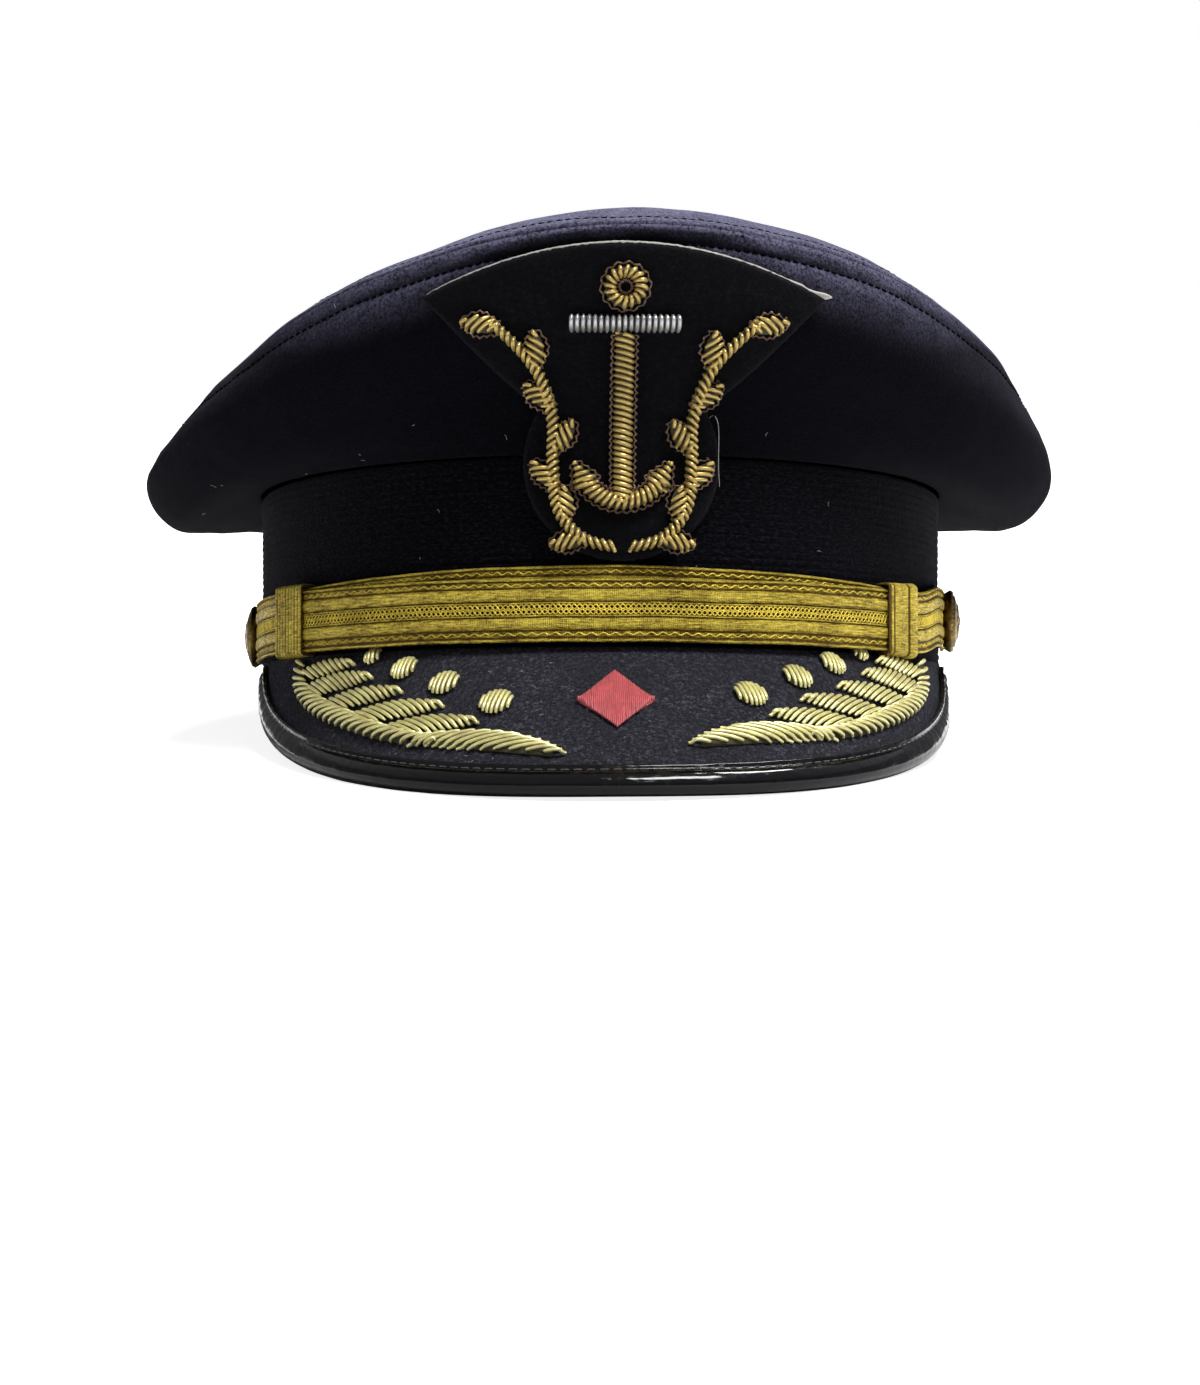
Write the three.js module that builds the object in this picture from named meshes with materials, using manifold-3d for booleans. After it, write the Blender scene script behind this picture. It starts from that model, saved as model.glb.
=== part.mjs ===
// An officer's peaked cap: a navy wool crown on a ribbed mohair band, a felt peak bound in
// patent leather, a gold lace chin strap with keepers and buttons, and bullion embroidery.
//
// Millimetres. The cap is laid out as it is worn, with x to the wearer's left, the front at
// -y and z up from the band's lower edge. The group at the end tips it back onto a table,
// where it rests on the rear of the band and the edge of the peak.

import * as THREE from 'three';
import { mergeVertices } from 'three/addons/utils/BufferGeometryUtils.js';
import Module from 'manifold-3d';

const wasm = await Module();
wasm.setup();

const { degToRad, lerp } = THREE.MathUtils;

// Driving dimensions

const GAP = 0.3;
const AROUND = 56;
const HEAD = { halfWidth: 86, halfLength: 102 };
const BAND = { wall: 3, frontUp: 45, rearUp: 41, waist: 0.3 };

const CROWN = {
  wall: 2, rootOut: GAP, sideSteps: 7, topSteps: 5, centreUp: 82, centreBack: 6, puffReach: 0.14,
  puffFade: 1.5, ringSpacing: 1.5,
};

// One row for each thirty degrees round the crown, from the front past the wearer's left: how
// far out from the band and how far up lie the underside's hem, the widest fold and the rim
// with its welt seam, and how far the top panel puffs up inside the rim.
const CROWN_SECTIONS = [
  { at: 0, hemOut: 7, hemUp: 60, foldOut: 20, foldUp: 82, rimOut: 25, rimUp: 96, puff: 7.2 },
  { at: 30, hemOut: 10, hemUp: 56, foldOut: 24, foldUp: 71.5, rimOut: 24, rimUp: 90, puff: 7.5 },
  { at: 60, hemOut: 16, hemUp: 44.5, foldOut: 27.5, foldUp: 57, rimOut: 23, rimUp: 72.5, puff: 6.5 },
  { at: 90, hemOut: 19.5, hemUp: 37.2, foldOut: 29, foldUp: 46.5, rimOut: 20.5, rimUp: 57, puff: 7 },
  { at: 120, hemOut: 16.5, hemUp: 40.3, foldOut: 28, foldUp: 49, rimOut: 20, rimUp: 57, puff: 7.7 },
  { at: 150, hemOut: 14, hemUp: 40, foldOut: 26.5, foldUp: 49, rimOut: 20, rimUp: 60, puff: 8 },
  { at: 180, hemOut: 13, hemUp: 38.5, foldOut: 26, foldUp: 48.5, rimOut: 20, rimUp: 60, puff: 8 },
  { at: 210, hemOut: 14, hemUp: 40, foldOut: 26.5, foldUp: 49, rimOut: 20, rimUp: 58.5, puff: 8 },
  { at: 240, hemOut: 17, hemUp: 39.3, foldOut: 28, foldUp: 48.5, rimOut: 20, rimUp: 56, puff: 7.5 },
  { at: 270, hemOut: 21, hemUp: 36, foldOut: 29.3, foldUp: 46, rimOut: 20, rimUp: 54, puff: 7 },
  { at: 300, hemOut: 16, hemUp: 44.5, foldOut: 27, foldUp: 55.5, rimOut: 21.5, rimUp: 67, puff: 6 },
  { at: 330, hemOut: 10, hemUp: 55, foldOut: 23.5, foldUp: 70, rimOut: 23.5, rimUp: 85.8, puff: 6.2 },
];

// The peak is bent from a flat board, so lines straight down its slope stay straight.
const PEAK = {
  slope: degToRad(39), length: 54.8, lean: 0.02, acrossPower: 3, downPower: 4.2, thick: 2.6,
  rootUp: 0.5, rootReach: degToRad(86), rootSteps: 172, undercut: 2.5, edgeInset: 1, edgeSamples: 600,
  stations: 40, cornerTurn: degToRad(81), cornerLength: 10,
};
const BINDING = {
  width: 6.5, thick: 0.9, nose: 1.2, rounding: 0.4, bevel: 0.7, edgeInset: 0.2, stations: 38,
};

const STRAP = {
  width: 15, thick: 1.2, low: 0.8, standOff: 1.8, endOff: 0.4, easing: degToRad(20), stations: 34,
  step: 0.6, bow: 2.5, leftRise: 3.5, rightEnd: degToRad(-94), leftEnd: degToRad(85),
};
const KEEPER = { thick: 0.7, span: degToRad(8), steps: 3, right: degToRad(-58.6), left: degToRad(51.3) };
const BUTTON = { radius: 8, height: 3.4, right: degToRad(-97), left: degToRad(84), sides: 18 };
// The button's profile from its back to its top, as shares of its radius and height.
const BUTTON_PROFILE = [
  { out: 0, up: 0 },
  { out: 0.86, up: 0 },
  { out: 1, up: 0.16 },
  { out: 1, up: 0.3 },
  { out: 0.86, up: 0.56 },
  { out: 0.6, up: 0.82 },
  { out: 0.3, up: 0.96 },
  { out: 0, up: 1 },
];

// The patch is a wide wing over a round lobe, set a little to the wearer's left.
const PATCH = {
  thick: 2.4, across: 1.4, halfSpan: 45, tipUp: 80, topUp: 91.5, bendAcross: 30, bendUp: 63,
  neckUp: 55, lobeUp: 42.5, lobeRadius: 22.6, columns: 14, rows: 8, margin: 2, lobeSegments: 9,
  standOff: 1.8, drape: 7,
};

const PAD = {
  seat: GAP, badgeSeat: 0.7, edge: 0.35, narrowest: 0.3, leaf: 1.4, berry: 1.2, stem: 1.3, badge: 2,
  lozenge: 1, discEnd: 0.92,
};
const LEAF_SHAPE = { bow: 0.05, steps: 5, widestEarly: 0.9, fullness: 0.7 };

// The branches are laid out on the flat peak: across from its middle, down from its root.
const STEM = [
  { across: 84.5, down: -36.5, half: 1.2 },
  { across: 84.6, down: -28.5, half: 1.6 },
  { across: 80.8, down: -18, half: 1.9 },
  { across: 74.4, down: -7, half: 2.1 },
  { across: 67.4, down: 3, half: 2.1 },
  { across: 59.4, down: 13.2, half: 1.9 },
  { across: 51.5, down: 21, half: 1.6 },
];
const LEAVES = [
  { baseAcross: 79.6, baseDown: -27.8, tipAcross: 67.6, tipDown: -20.2, half: 1.8 },
  { baseAcross: 77.2, baseDown: -18.6, tipAcross: 62.5, tipDown: -10.7, half: 2.1 },
  { baseAcross: 70.8, baseDown: -6.8, tipAcross: 54.6, tipDown: 0.6, half: 2.1 },
  { baseAcross: 62.9, baseDown: 4.6, tipAcross: 44.3, tipDown: 12.3, half: 2.2 },
  { baseAcross: 53.8, baseDown: 15.7, tipAcross: 34.2, tipDown: 23, half: 2.2 },
  { baseAcross: 48.3, baseDown: 24.2, tipAcross: 17, tipDown: 40.6, half: 2.7 },
];
const BERRIES = [
  { across: 60.9, down: -17.9, radius: 2.1 },
  { across: 52.4, down: -7.2, radius: 3.1 },
  { across: 42.2, down: 4.4, radius: 3.4 },
  { across: 29.7, down: 17, radius: 3.7 },
];
// The two hand-laid branches don't quite match: each is shifted this much across and down.
const BRANCHES = [
  { side: 'left', sign: 1, shiftAcross: 1.6, shiftDown: -2.2 },
  { side: 'right', sign: -1, shiftAcross: 1.6, shiftDown: 2.2 },
];
const LOZENGE = { across: -0.5, down: 22.5, halfAcross: 8.6, halfDown: 10.5, tipHalf: 0.6, steps: 4 };

// The badge is an anchor in a laurel wreath, laid out on the patch from its middle.
const ANCHOR = {
  ringUp: 81.5, ringRadius: 3.4, ringHalf: 1.1, stockUp: 73.5, stockSpan: 11.5, stockHalf: 1.6,
  shankTop: 71, shankHalf: 1.8, armsUp: 43, armsRadius: 9.5, armsHalf: 1.6, armsSweep: degToRad(62),
  flukeRoot: -0.25, flukeLength: 4.5, flukeHalf: 2.4, shankSteps: 4, armsSteps: 10, ringSteps: 14,
};
const WREATH_STEM = [
  { across: 2.2, up: 23, half: 1 },
  { across: 9.2, up: 25.2, half: 1.1 },
  { across: 14.2, up: 32, half: 1.1 },
  { across: 15.4, up: 42, half: 1.1 },
  { across: 15.5, up: 53, half: 1.1 },
  { across: 19.5, up: 64, half: 1 },
  { across: 28.5, up: 73.5, half: 0.8 },
];
const WREATH_LEAVES = { count: 7, first: 0.14, last: 0.97, length: 8, half: 1.8, splay: degToRad(32) };

// Shared geometry

function facingOut(geometry) {
  const corner = [new THREE.Vector3(), new THREE.Vector3(), new THREE.Vector3()];
  const index = geometry.index.array;
  let volume = 0;
  for (let i = 0; i < index.length; i += 3) {
    corner.forEach((point, k) => point.fromBufferAttribute(geometry.attributes.position, index[i + k]));
    volume += corner[0].dot(corner[1].clone().cross(corner[2]));
  }
  if (volume < 0) {
    for (let i = 0; i < index.length; i += 3) {
      [index[i + 1], index[i + 2]] = [index[i + 2], index[i + 1]];
    }
  }
  return geometry;
}

// Shared corners merged, empty triangles dropped, and faces turned out.
function bare(geometry) {
  geometry.deleteAttribute('normal');
  geometry.deleteAttribute('uv');
  const merged = mergeVertices(geometry, 1e-4);
  const corners = merged.index.array;
  const kept = [];
  for (let i = 0; i < corners.length; i += 3) {
    const [a, b, c] = corners.slice(i, i + 3);
    if (a !== b && b !== c && c !== a) kept.push(a, b, c);
  }
  merged.setIndex(kept);
  return facingOut(merged);
}

function closedGeometry(points, faces) {
  const geometry = new THREE.BufferGeometry().setFromPoints(points);
  return bare(geometry.setIndex(faces.flat()));
}

// A closed wall between two skins, each a list of rows of points. A ring joins its last
// column to its first; an open wall is capped there.
function wall(outer, inner, ring = false) {
  const rows = outer.length;
  const columns = outer[0].length;
  const at = (skin, row, column) => (skin * rows + row) * columns + (column % columns);
  const faces = [];
  const quad = (a, b, c, d) => faces.push([a, b, c], [a, c, d]);
  const last = rows - 1;
  const spans = ring ? columns : columns - 1;
  for (let column = 0; column < spans; column += 1) {
    const next = column + 1;
    for (let row = 0; row < last; row += 1) {
      quad(at(0, row, column), at(0, row, next), at(0, row + 1, next), at(0, row + 1, column));
      quad(at(1, row, column), at(1, row + 1, column), at(1, row + 1, next), at(1, row, next));
    }
    quad(at(1, 0, column), at(1, 0, next), at(0, 0, next), at(0, 0, column));
    quad(at(0, last, column), at(0, last, next), at(1, last, next), at(1, last, column));
  }
  if (!ring) {
    for (let row = 0; row < last; row += 1) {
      quad(at(0, row, 0), at(0, row + 1, 0), at(1, row + 1, 0), at(1, row, 0));
      quad(at(0, row, spans), at(1, row, spans), at(1, row + 1, spans), at(0, row + 1, spans));
    }
  }
  return closedGeometry([...outer.flat(), ...inner.flat()], faces);
}

function toSolid(geometry) {
  return new wasm.Manifold(new wasm.Mesh({
    numProp: 3,
    vertProperties: new Float32Array(geometry.attributes.position.array),
    triVerts: new Uint32Array(geometry.index.array),
  }));
}

function fromSolid(solid) {
  const { vertProperties, triVerts } = solid.getMesh();
  const geometry = new THREE.BufferGeometry();
  geometry.setAttribute('position', new THREE.BufferAttribute(new Float32Array(vertProperties), 3));
  geometry.setIndex([...triVerts]);
  return geometry;
}

function joined(geometries) {
  return fromSolid(geometries.map(toSolid).reduce((whole, piece) => whole.add(piece)));
}

function steps(count, from = 0, to = 1) {
  return Array.from({ length: count + 1 }, (_, i) => lerp(from, to, i / count));
}

const RING_TURNS = steps(AROUND, 0, 2 * Math.PI).slice(0, AROUND);

// A point round the head's oval: turned from the front towards the wearer's left, out from
// the band's surface and up from its lower edge.
function around(turn, out, up) {
  const across = Math.sin(turn);
  const along = -Math.cos(turn);
  const normal = new THREE.Vector2(across / HEAD.halfWidth, along / HEAD.halfLength).normalize();
  return new THREE.Vector3(
    HEAD.halfWidth * across + out * normal.x,
    HEAD.halfLength * along + out * normal.y,
    up,
  );
}

// Band

function bandTop(turn) {
  return lerp(BAND.rearUp, BAND.frontUp, (1 + Math.cos(turn)) / 2);
}

function bandGeometry() {
  const skin = (out) => steps(2).map((rise) => RING_TURNS.map((turn) => {
    const waist = BAND.waist * Math.sin(Math.PI * rise);
    return around(turn, out - waist, rise * bandTop(turn));
  }));
  return wall(skin(0), skin(-BAND.wall), true);
}

// Crown

function crownSection(turn) {
  const count = CROWN_SECTIONS.length;
  const place = (turn / (2 * Math.PI)) * count;
  const first = Math.floor(place) + count;
  const t = place - Math.floor(place);
  const row = (offset) => CROWN_SECTIONS[(first + offset) % count];
  const blend = (column) => {
    const [before, from, to, after] = [-1, 0, 1, 2].map((offset) => row(offset)[column]);
    const curve = new THREE.SplineCurve([before, from, to, after].map((v, i) => new THREE.Vector2(i, v)));
    return curve.getPoint((1 + t) / 3).y;
  };
  return {
    hem: new THREE.Vector2(blend('hemOut'), blend('hemUp')),
    fold: new THREE.Vector2(blend('foldOut'), blend('foldUp')),
    rim: new THREE.Vector2(blend('rimOut'), blend('rimUp')),
    puff: blend('puff'),
  };
}

// The side wall's profile in one section, from the band's top to the rim, moved in by inset.
function sideProfile(turn, inset) {
  const { hem, fold, rim } = crownSection(turn);
  const curve = new THREE.SplineCurve([
    new THREE.Vector2(CROWN.rootOut, bandTop(turn) + GAP),
    hem,
    fold,
    rim,
  ]);
  return steps(CROWN.sideSteps).map((t) => {
    const tangent = curve.getTangent(t);
    return curve.getPoint(t).add(new THREE.Vector2(-tangent.y, tangent.x).multiplyScalar(inset));
  });
}

function crownSideGeometry() {
  const skin = (inset) => {
    const profiles = RING_TURNS.map((turn) => sideProfile(turn, inset));
    return steps(CROWN.sideSteps).map((_, row) => RING_TURNS.map(
      (turn, column) => around(turn, profiles[column][row].x, profiles[column][row].y),
    ));
  };
  return wall(skin(0), skin(CROWN.wall), true);
}

// A point of the top panel, from the rim at k = 0 to the panel's middle at k = 1.
function topPoint(turn, k) {
  const { rim, puff } = crownSection(turn);
  const edge = around(turn, rim.x, rim.y);
  const centre = new THREE.Vector3(0, CROWN.centreBack, CROWN.centreUp);
  const point = edge.clone().lerp(centre, k);
  const swell = Math.sin((Math.PI / 2) * Math.min(1, k / CROWN.puffReach));
  point.z = lerp(edge.z, centre.z, k * k * (3 - 2 * k)) + puff * swell * (1 - k) ** CROWN.puffFade;
  return point;
}

function crownTopGeometry() {
  const edge = (inset) => RING_TURNS.map((turn) => {
    const end = sideProfile(turn, inset).at(-1);
    return around(turn, end.x, end.y + GAP);
  });
  const rings = steps(CROWN.topSteps).slice(1).map((t) => t ** CROWN.ringSpacing);
  const skin = (drop) => rings.map((k) => RING_TURNS.map((turn) => {
    const point = topPoint(turn, k);
    return point.setZ(point.z - drop);
  }));
  return wall([edge(0), ...skin(0)], [edge(CROWN.wall), ...skin(CROWN.wall)], true);
}

// Peak

const DOWN_SLOPE = new THREE.Vector3(0, -Math.cos(PEAK.slope), -Math.sin(PEAK.slope));

// The root line where the peak leaves the band, unrolled: how far each turn lies across the
// flat board, and how far down its slope.
function unrolledRoot() {
  const turns = steps(PEAK.rootSteps, -PEAK.rootReach, PEAK.rootReach);
  const middle = around(0, GAP, PEAK.rootUp).dot(DOWN_SLOPE);
  let across = 0;
  let before = null;
  const line = turns.map((turn) => {
    const point = around(turn, GAP, PEAK.rootUp);
    const down = point.dot(DOWN_SLOPE);
    const level = point.clone().addScaledVector(DOWN_SLOPE, -down);
    across += before ? level.distanceTo(before) : 0;
    before = level;
    return { turn, across, down: down - middle };
  });
  return line.map((row) => ({ ...row, across: row.across - across / 2 }));
}

const ROOT = unrolledRoot();

function rootBy(column, value) {
  const after = Math.min(Math.max(ROOT.findIndex((row) => row[column] >= value), 1), ROOT.length - 1);
  const [from, to] = [ROOT[after - 1], ROOT[after]];
  const t = (value - from[column]) / (to[column] - from[column]);
  return {
    turn: lerp(from.turn, to.turn, t),
    across: lerp(from.across, to.across, t),
    down: lerp(from.down, to.down, t),
  };
}

// A point of the bent peak, from its place on the flat board and its lift off the felt.
function onPeak(across, down, lift) {
  const root = rootBy('across', across);
  const point = around(root.turn, GAP, PEAK.rootUp);
  const tangent = around(root.turn + 0.01, GAP, 0).sub(around(root.turn - 0.01, GAP, 0));
  const normal = tangent.cross(DOWN_SLOPE).normalize().negate();
  return point.addScaledVector(DOWN_SLOPE, down - root.down).addScaledVector(normal, lift);
}

// The peak's outline on the flat board, in even steps from corner to corner, each with its
// direction in from the edge.
function peakEdge(stations) {
  const reach = HEAD.halfWidth * Math.sin(PEAK.cornerTurn);
  const fine = steps(PEAK.edgeSamples, -1, 1).map((t) => {
    const across = Math.sign(t) * (1 - (1 - Math.abs(t)) ** 3);
    const root = rootBy('turn', Math.asin((across * reach) / HEAD.halfWidth));
    const share = Math.abs(across) ** PEAK.acrossPower;
    const length = PEAK.length * (1 - PEAK.lean * across) * (1 - share) ** (1 / PEAK.downPower);
    return { length, at: new THREE.Vector2(root.across, root.down + length) };
  });
  const outline = new THREE.SplineCurve(
    fine.filter(({ length }) => length >= PEAK.cornerLength).map(({ at }) => at),
  ).getSpacedPoints(stations);
  return outline.map((at, i) => {
    const ahead = outline[Math.min(i + 1, stations)];
    const behind = outline[Math.max(i - 1, 0)];
    const along = ahead.clone().sub(behind).normalize();
    return { at, inward: new THREE.Vector2(along.y, -along.x) };
  });
}

function peakGeometry() {
  const edge = peakEdge(PEAK.stations).map(
    ({ at, inward }) => at.clone().addScaledVector(inward, PEAK.edgeInset),
  );
  const rootAt = (x, up) => around(rootBy('across', x).turn, GAP, up);
  const skin = (rootUp, undercut, lift) => [
    edge.map(({ x }) => rootAt(x, rootUp)),
    edge.map(({ x }) => onPeak(x, rootBy('across', x).down + undercut, lift)),
    edge.map(({ x, y }) => onPeak(x, y, lift)),
  ];
  return wall(skin(PEAK.rootUp, PEAK.undercut, 0), skin(-GAP, PEAK.undercut, -PEAK.thick));
}

// The binding's section: each point's distance in from the edge and its lift off the felt,
// from its top hem round the edge to its under hem.
function bindingSection(grow) {
  const { width, nose, rounding, bevel, edgeInset } = BINDING;
  const rounded = rounding - grow * bevel;
  const topHalf = [
    { inset: width, lift: GAP + grow },
    { inset: nose, lift: GAP + grow },
    { inset: rounded, lift: grow * bevel },
  ];
  const edge = { inset: edgeInset - grow, lift: -PEAK.thick / 2 };
  const underHalf = topHalf.map(({ inset, lift }) => ({ inset, lift: -PEAK.thick - lift })).reverse();
  return [...topHalf, edge, ...underHalf];
}

function bindingGeometry() {
  const edge = peakEdge(BINDING.stations);
  const skin = (grow) => bindingSection(grow).map(({ inset, lift }) => edge.map(({ at, inward }) => {
    const place = at.clone().addScaledVector(inward, inset);
    return onPeak(place.x, place.y, lift);
  }));
  return wall(skin(BINDING.thick), skin(0));
}

// Chin strap

// The strap's two layers: each lies this far out between the keepers, and eases down onto
// the band from its keeper to its button. The back one bows up between the keepers, where its
// upper edge shows over the front one's, and the front one rises to its button.
const LAYERS = {
  back: {
    near: STRAP.standOff, low: STRAP.low + STRAP.step, keeper: KEEPER.right, bow: STRAP.bow, endRise: 0,
  },
  front: {
    near: STRAP.standOff + STRAP.thick + GAP, low: STRAP.low, keeper: KEEPER.left, bow: 0,
    endRise: STRAP.leftRise,
  },
};

// How far a layer has come from its keeper to where it lies on the band, from 0 to 1.
function eased({ keeper }, turn) {
  const past = (Math.abs(turn) - Math.abs(keeper) - KEEPER.span / 2) / STRAP.easing;
  return turn * keeper > 0 ? THREE.MathUtils.smoothstep(past, 0, 1) : 0;
}

function layerOut(layer, turn) {
  return lerp(layer.near, STRAP.endOff, eased(layer, turn));
}

function layerLow(layer, turn) {
  const from = KEEPER.right + KEEPER.span / 2;
  const to = KEEPER.left - KEEPER.span / 2;
  const bowed = Math.max(0, 1 - ((2 * turn - from - to) / (to - from)) ** 2);
  return layer.low + layer.bow * bowed + layer.endRise * eased(layer, turn);
}

function strapGeometry(layer, from, to) {
  const turns = steps(STRAP.stations, from, to);
  const skin = (thick) => [0, STRAP.width].map((up) => turns.map(
    (turn) => around(turn, layerOut(layer, turn) + thick, layerLow(layer, turn) + up),
  ));
  return wall(skin(STRAP.thick), skin(0));
}

// A keeper is a flat loop of lace round both layers of the strap.
function keeperGeometry(middle) {
  const low = STRAP.low - GAP;
  const high = LAYERS.back.low + STRAP.width + GAP;
  const near = LAYERS.back.near - GAP;
  const far = LAYERS.front.near + STRAP.thick + GAP;
  const turns = steps(KEEPER.steps, middle - KEEPER.span / 2, middle + KEEPER.span / 2);
  const loop = (grow) => [
    [near - grow, low - grow],
    [far + grow, low - grow],
    [far + grow, high + grow],
    [near - grow, high + grow],
  ];
  const skin = (grow) => turns.map((turn) => loop(grow).map(([out, up]) => around(turn, out, up)));
  return wall(skin(KEEPER.thick), skin(0), true);
}

function buttonGeometry() {
  const { radius, height } = BUTTON;
  const dome = BUTTON_PROFILE.map(({ out, up }) => new THREE.Vector2(radius * out, height * up));
  return bare(new THREE.LatheGeometry(dome, BUTTON.sides));
}

// Badge patch

// How far out the crown or the band lies at one turn and height.
function frontOut(turn, up) {
  const profile = sideProfile(turn, 0);
  const after = profile.findIndex((point) => point.y >= up);
  if (after === 0) return 0;
  if (after < 0) return profile.at(-1).x;
  const [from, to] = [profile[after - 1], profile[after]];
  return lerp(from.x, to.x, (up - from.y) / (to.y - from.y));
}

// A point on the back of the patch, which is stiff and bridges the bend at the band's top,
// lifted off it.
function onFront(across, up, lift) {
  let out = 0;
  let turn = 0;
  for (let pass = 0; pass < 3; pass += 1) {
    turn = Math.asin(across / (HEAD.halfWidth + out));
    const heights = [up - PATCH.drape, up, up + PATCH.drape];
    out = heights.reduce((sum, height) => sum + frontOut(turn, height) / heights.length, PATCH.standOff);
  }
  return around(turn, out + lift, up);
}

function patchOutline() {
  const { halfSpan, tipUp, topUp, bendAcross, bendUp, neckUp, lobeUp, lobeRadius } = PATCH;
  const neck = Math.asin((neckUp - lobeUp) / lobeRadius);
  const outline = new THREE.Shape();
  outline.moveTo(-halfSpan, tipUp);
  outline.quadraticCurveTo(0, 2 * topUp - tipUp, halfSpan, tipUp);
  outline.quadraticCurveTo(bendAcross, bendUp, lobeRadius * Math.cos(neck), neckUp);
  outline.absarc(0, lobeUp, lobeRadius, neck, Math.PI - neck, true);
  outline.quadraticCurveTo(-bendAcross, bendUp, -halfSpan, tipUp);
  return outline;
}

// The patch is cut from a sheet bent over the cap's front.
function patchGeometry() {
  const { across, halfSpan, topUp, lobeUp, lobeRadius, thick, margin } = PATCH;
  const reach = halfSpan + margin;
  const columns = steps(PATCH.columns, across - reach, across + reach);
  const heights = steps(PATCH.rows, lobeUp - lobeRadius - margin, topUp + margin);
  const skin = (lift) => heights.map((up) => columns.map((x) => onFront(x, up, lift)));
  const sheet = wall(skin(thick), skin(0));
  const cutter = new THREE.ExtrudeGeometry(patchOutline(), {
    depth: HEAD.halfLength,
    bevelEnabled: false,
    curveSegments: PATCH.lobeSegments,
  });
  cutter.rotateX(Math.PI / 2).translate(across, -HEAD.halfLength / 2, 0);
  return fromSolid(toSolid(sheet).intersect(toSolid(bare(cutter))));
}

// Embroidery

// A pad of laid bullion: a low ridge along a path of stations, each with its place and its
// half width, set on a surface that turns a place and a lift into a point.
function padGeometry(path, surface, height, sides = [-1, -0.5, 0.5, 1], ring = false) {
  const count = path.length;
  const sideways = path.map((_, i) => {
    const ahead = path[ring ? (i + 1) % count : Math.min(i + 1, count - 1)];
    const behind = path[ring ? (i + count - 1) % count : Math.max(i - 1, 0)];
    const along = ahead.at.clone().sub(behind.at).normalize();
    return new THREE.Vector2(-along.y, along.x);
  });
  const skin = (liftOf) => sides.map((side) => path.map(({ at, half }, i) => {
    const place = at.clone().addScaledVector(sideways[i], side * half);
    return surface(place.x, place.y, PAD.seat + liftOf(side));
  }));
  const crest = (side) => PAD.edge + (height - PAD.edge) * Math.sqrt(1 - side ** 2);
  return wall(skin(crest), skin(() => 0), ring);
}

function leafPath(base, tip, half, count = LEAF_SHAPE.steps) {
  const { bow, widestEarly, fullness } = LEAF_SHAPE;
  const sideways = tip.clone().sub(base).rotateAround(new THREE.Vector2(), Math.PI / 2);
  const middle = base.clone().lerp(tip, 0.5).addScaledVector(sideways, bow);
  const line = new THREE.QuadraticBezierCurve(base, middle, tip);
  return steps(count).map((t) => ({
    at: line.getPoint(t),
    half: Math.max(PAD.narrowest, half * Math.sin(Math.PI * t ** widestEarly) ** fullness),
  }));
}

function discPath(across, down, radius, count = 4) {
  return steps(count, -PAD.discEnd, PAD.discEnd).map((t) => ({
    at: new THREE.Vector2(across + t * radius, down),
    half: radius * Math.sqrt(1 - t ** 2),
  }));
}

function smoothPath(rows, heightColumn, count) {
  const curve = new THREE.SplineCurve(rows.map((row) => new THREE.Vector2(row.across, row[heightColumn])));
  const widths = new THREE.SplineCurve(rows.map((row, i) => new THREE.Vector2(i, row.half)));
  return steps(count).map((t) => ({ at: curve.getPoint(t), half: widths.getPoint(t).y }));
}

function mirrored(path, { sign, shiftAcross, shiftDown }) {
  return path.map(({ at, half }) => ({
    at: new THREE.Vector2(sign * at.x + shiftAcross, at.y + shiftDown),
    half,
  }));
}

function onPatch(across, up, lift) {
  return onFront(across + PATCH.across, up, PATCH.thick + PAD.badgeSeat - PAD.seat + lift);
}

function anchorGeometry() {
  const { shankTop, shankHalf, armsUp, armsRadius, armsHalf, armsSweep } = ANCHOR;
  const { flukeRoot, flukeLength, flukeHalf, shankSteps, armsSteps } = ANCHOR;
  const pad = (path) => padGeometry(path, onPatch, PAD.badge);
  const arc = (angle) => new THREE.Vector2(
    armsRadius * Math.sin(angle),
    armsUp - armsRadius * Math.cos(angle),
  );
  const shank = steps(shankSteps).map((t) => ({
    at: new THREE.Vector2(0, lerp(shankTop, armsUp - armsRadius, t)),
    half: shankHalf,
  }));
  const arms = steps(armsSteps, -armsSweep, armsSweep).map((angle) => ({ at: arc(angle), half: armsHalf }));
  const flukes = [-1, 1].map((side) => {
    const root = arc(side * armsSweep);
    const along = new THREE.Vector2(side * Math.cos(armsSweep), Math.sin(armsSweep));
    return steps(3, flukeRoot, 1).map((t) => ({
      at: root.clone().addScaledVector(along, t * flukeLength),
      half: Math.max(PAD.narrowest, flukeHalf * (1 - Math.max(0, t))),
    }));
  });
  return joined([shank, arms, ...flukes].map(pad));
}

function anchorRingGeometry() {
  const { ringUp, ringRadius, ringHalf, ringSteps } = ANCHOR;
  const path = steps(ringSteps, 0, 2 * Math.PI).slice(0, ringSteps).map((angle) => ({
    at: new THREE.Vector2(ringRadius * Math.cos(angle), ringUp + ringRadius * Math.sin(angle)),
    half: ringHalf,
  }));
  return padGeometry(path, onPatch, PAD.badge, [-1, 0, 1], true);
}

function anchorStockGeometry() {
  const { stockUp, stockSpan, stockHalf } = ANCHOR;
  const path = steps(6, -stockSpan, stockSpan).map((across) => ({
    at: new THREE.Vector2(across, stockUp),
    half: stockHalf,
  }));
  return padGeometry(path, onPatch, PAD.badge);
}

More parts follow.
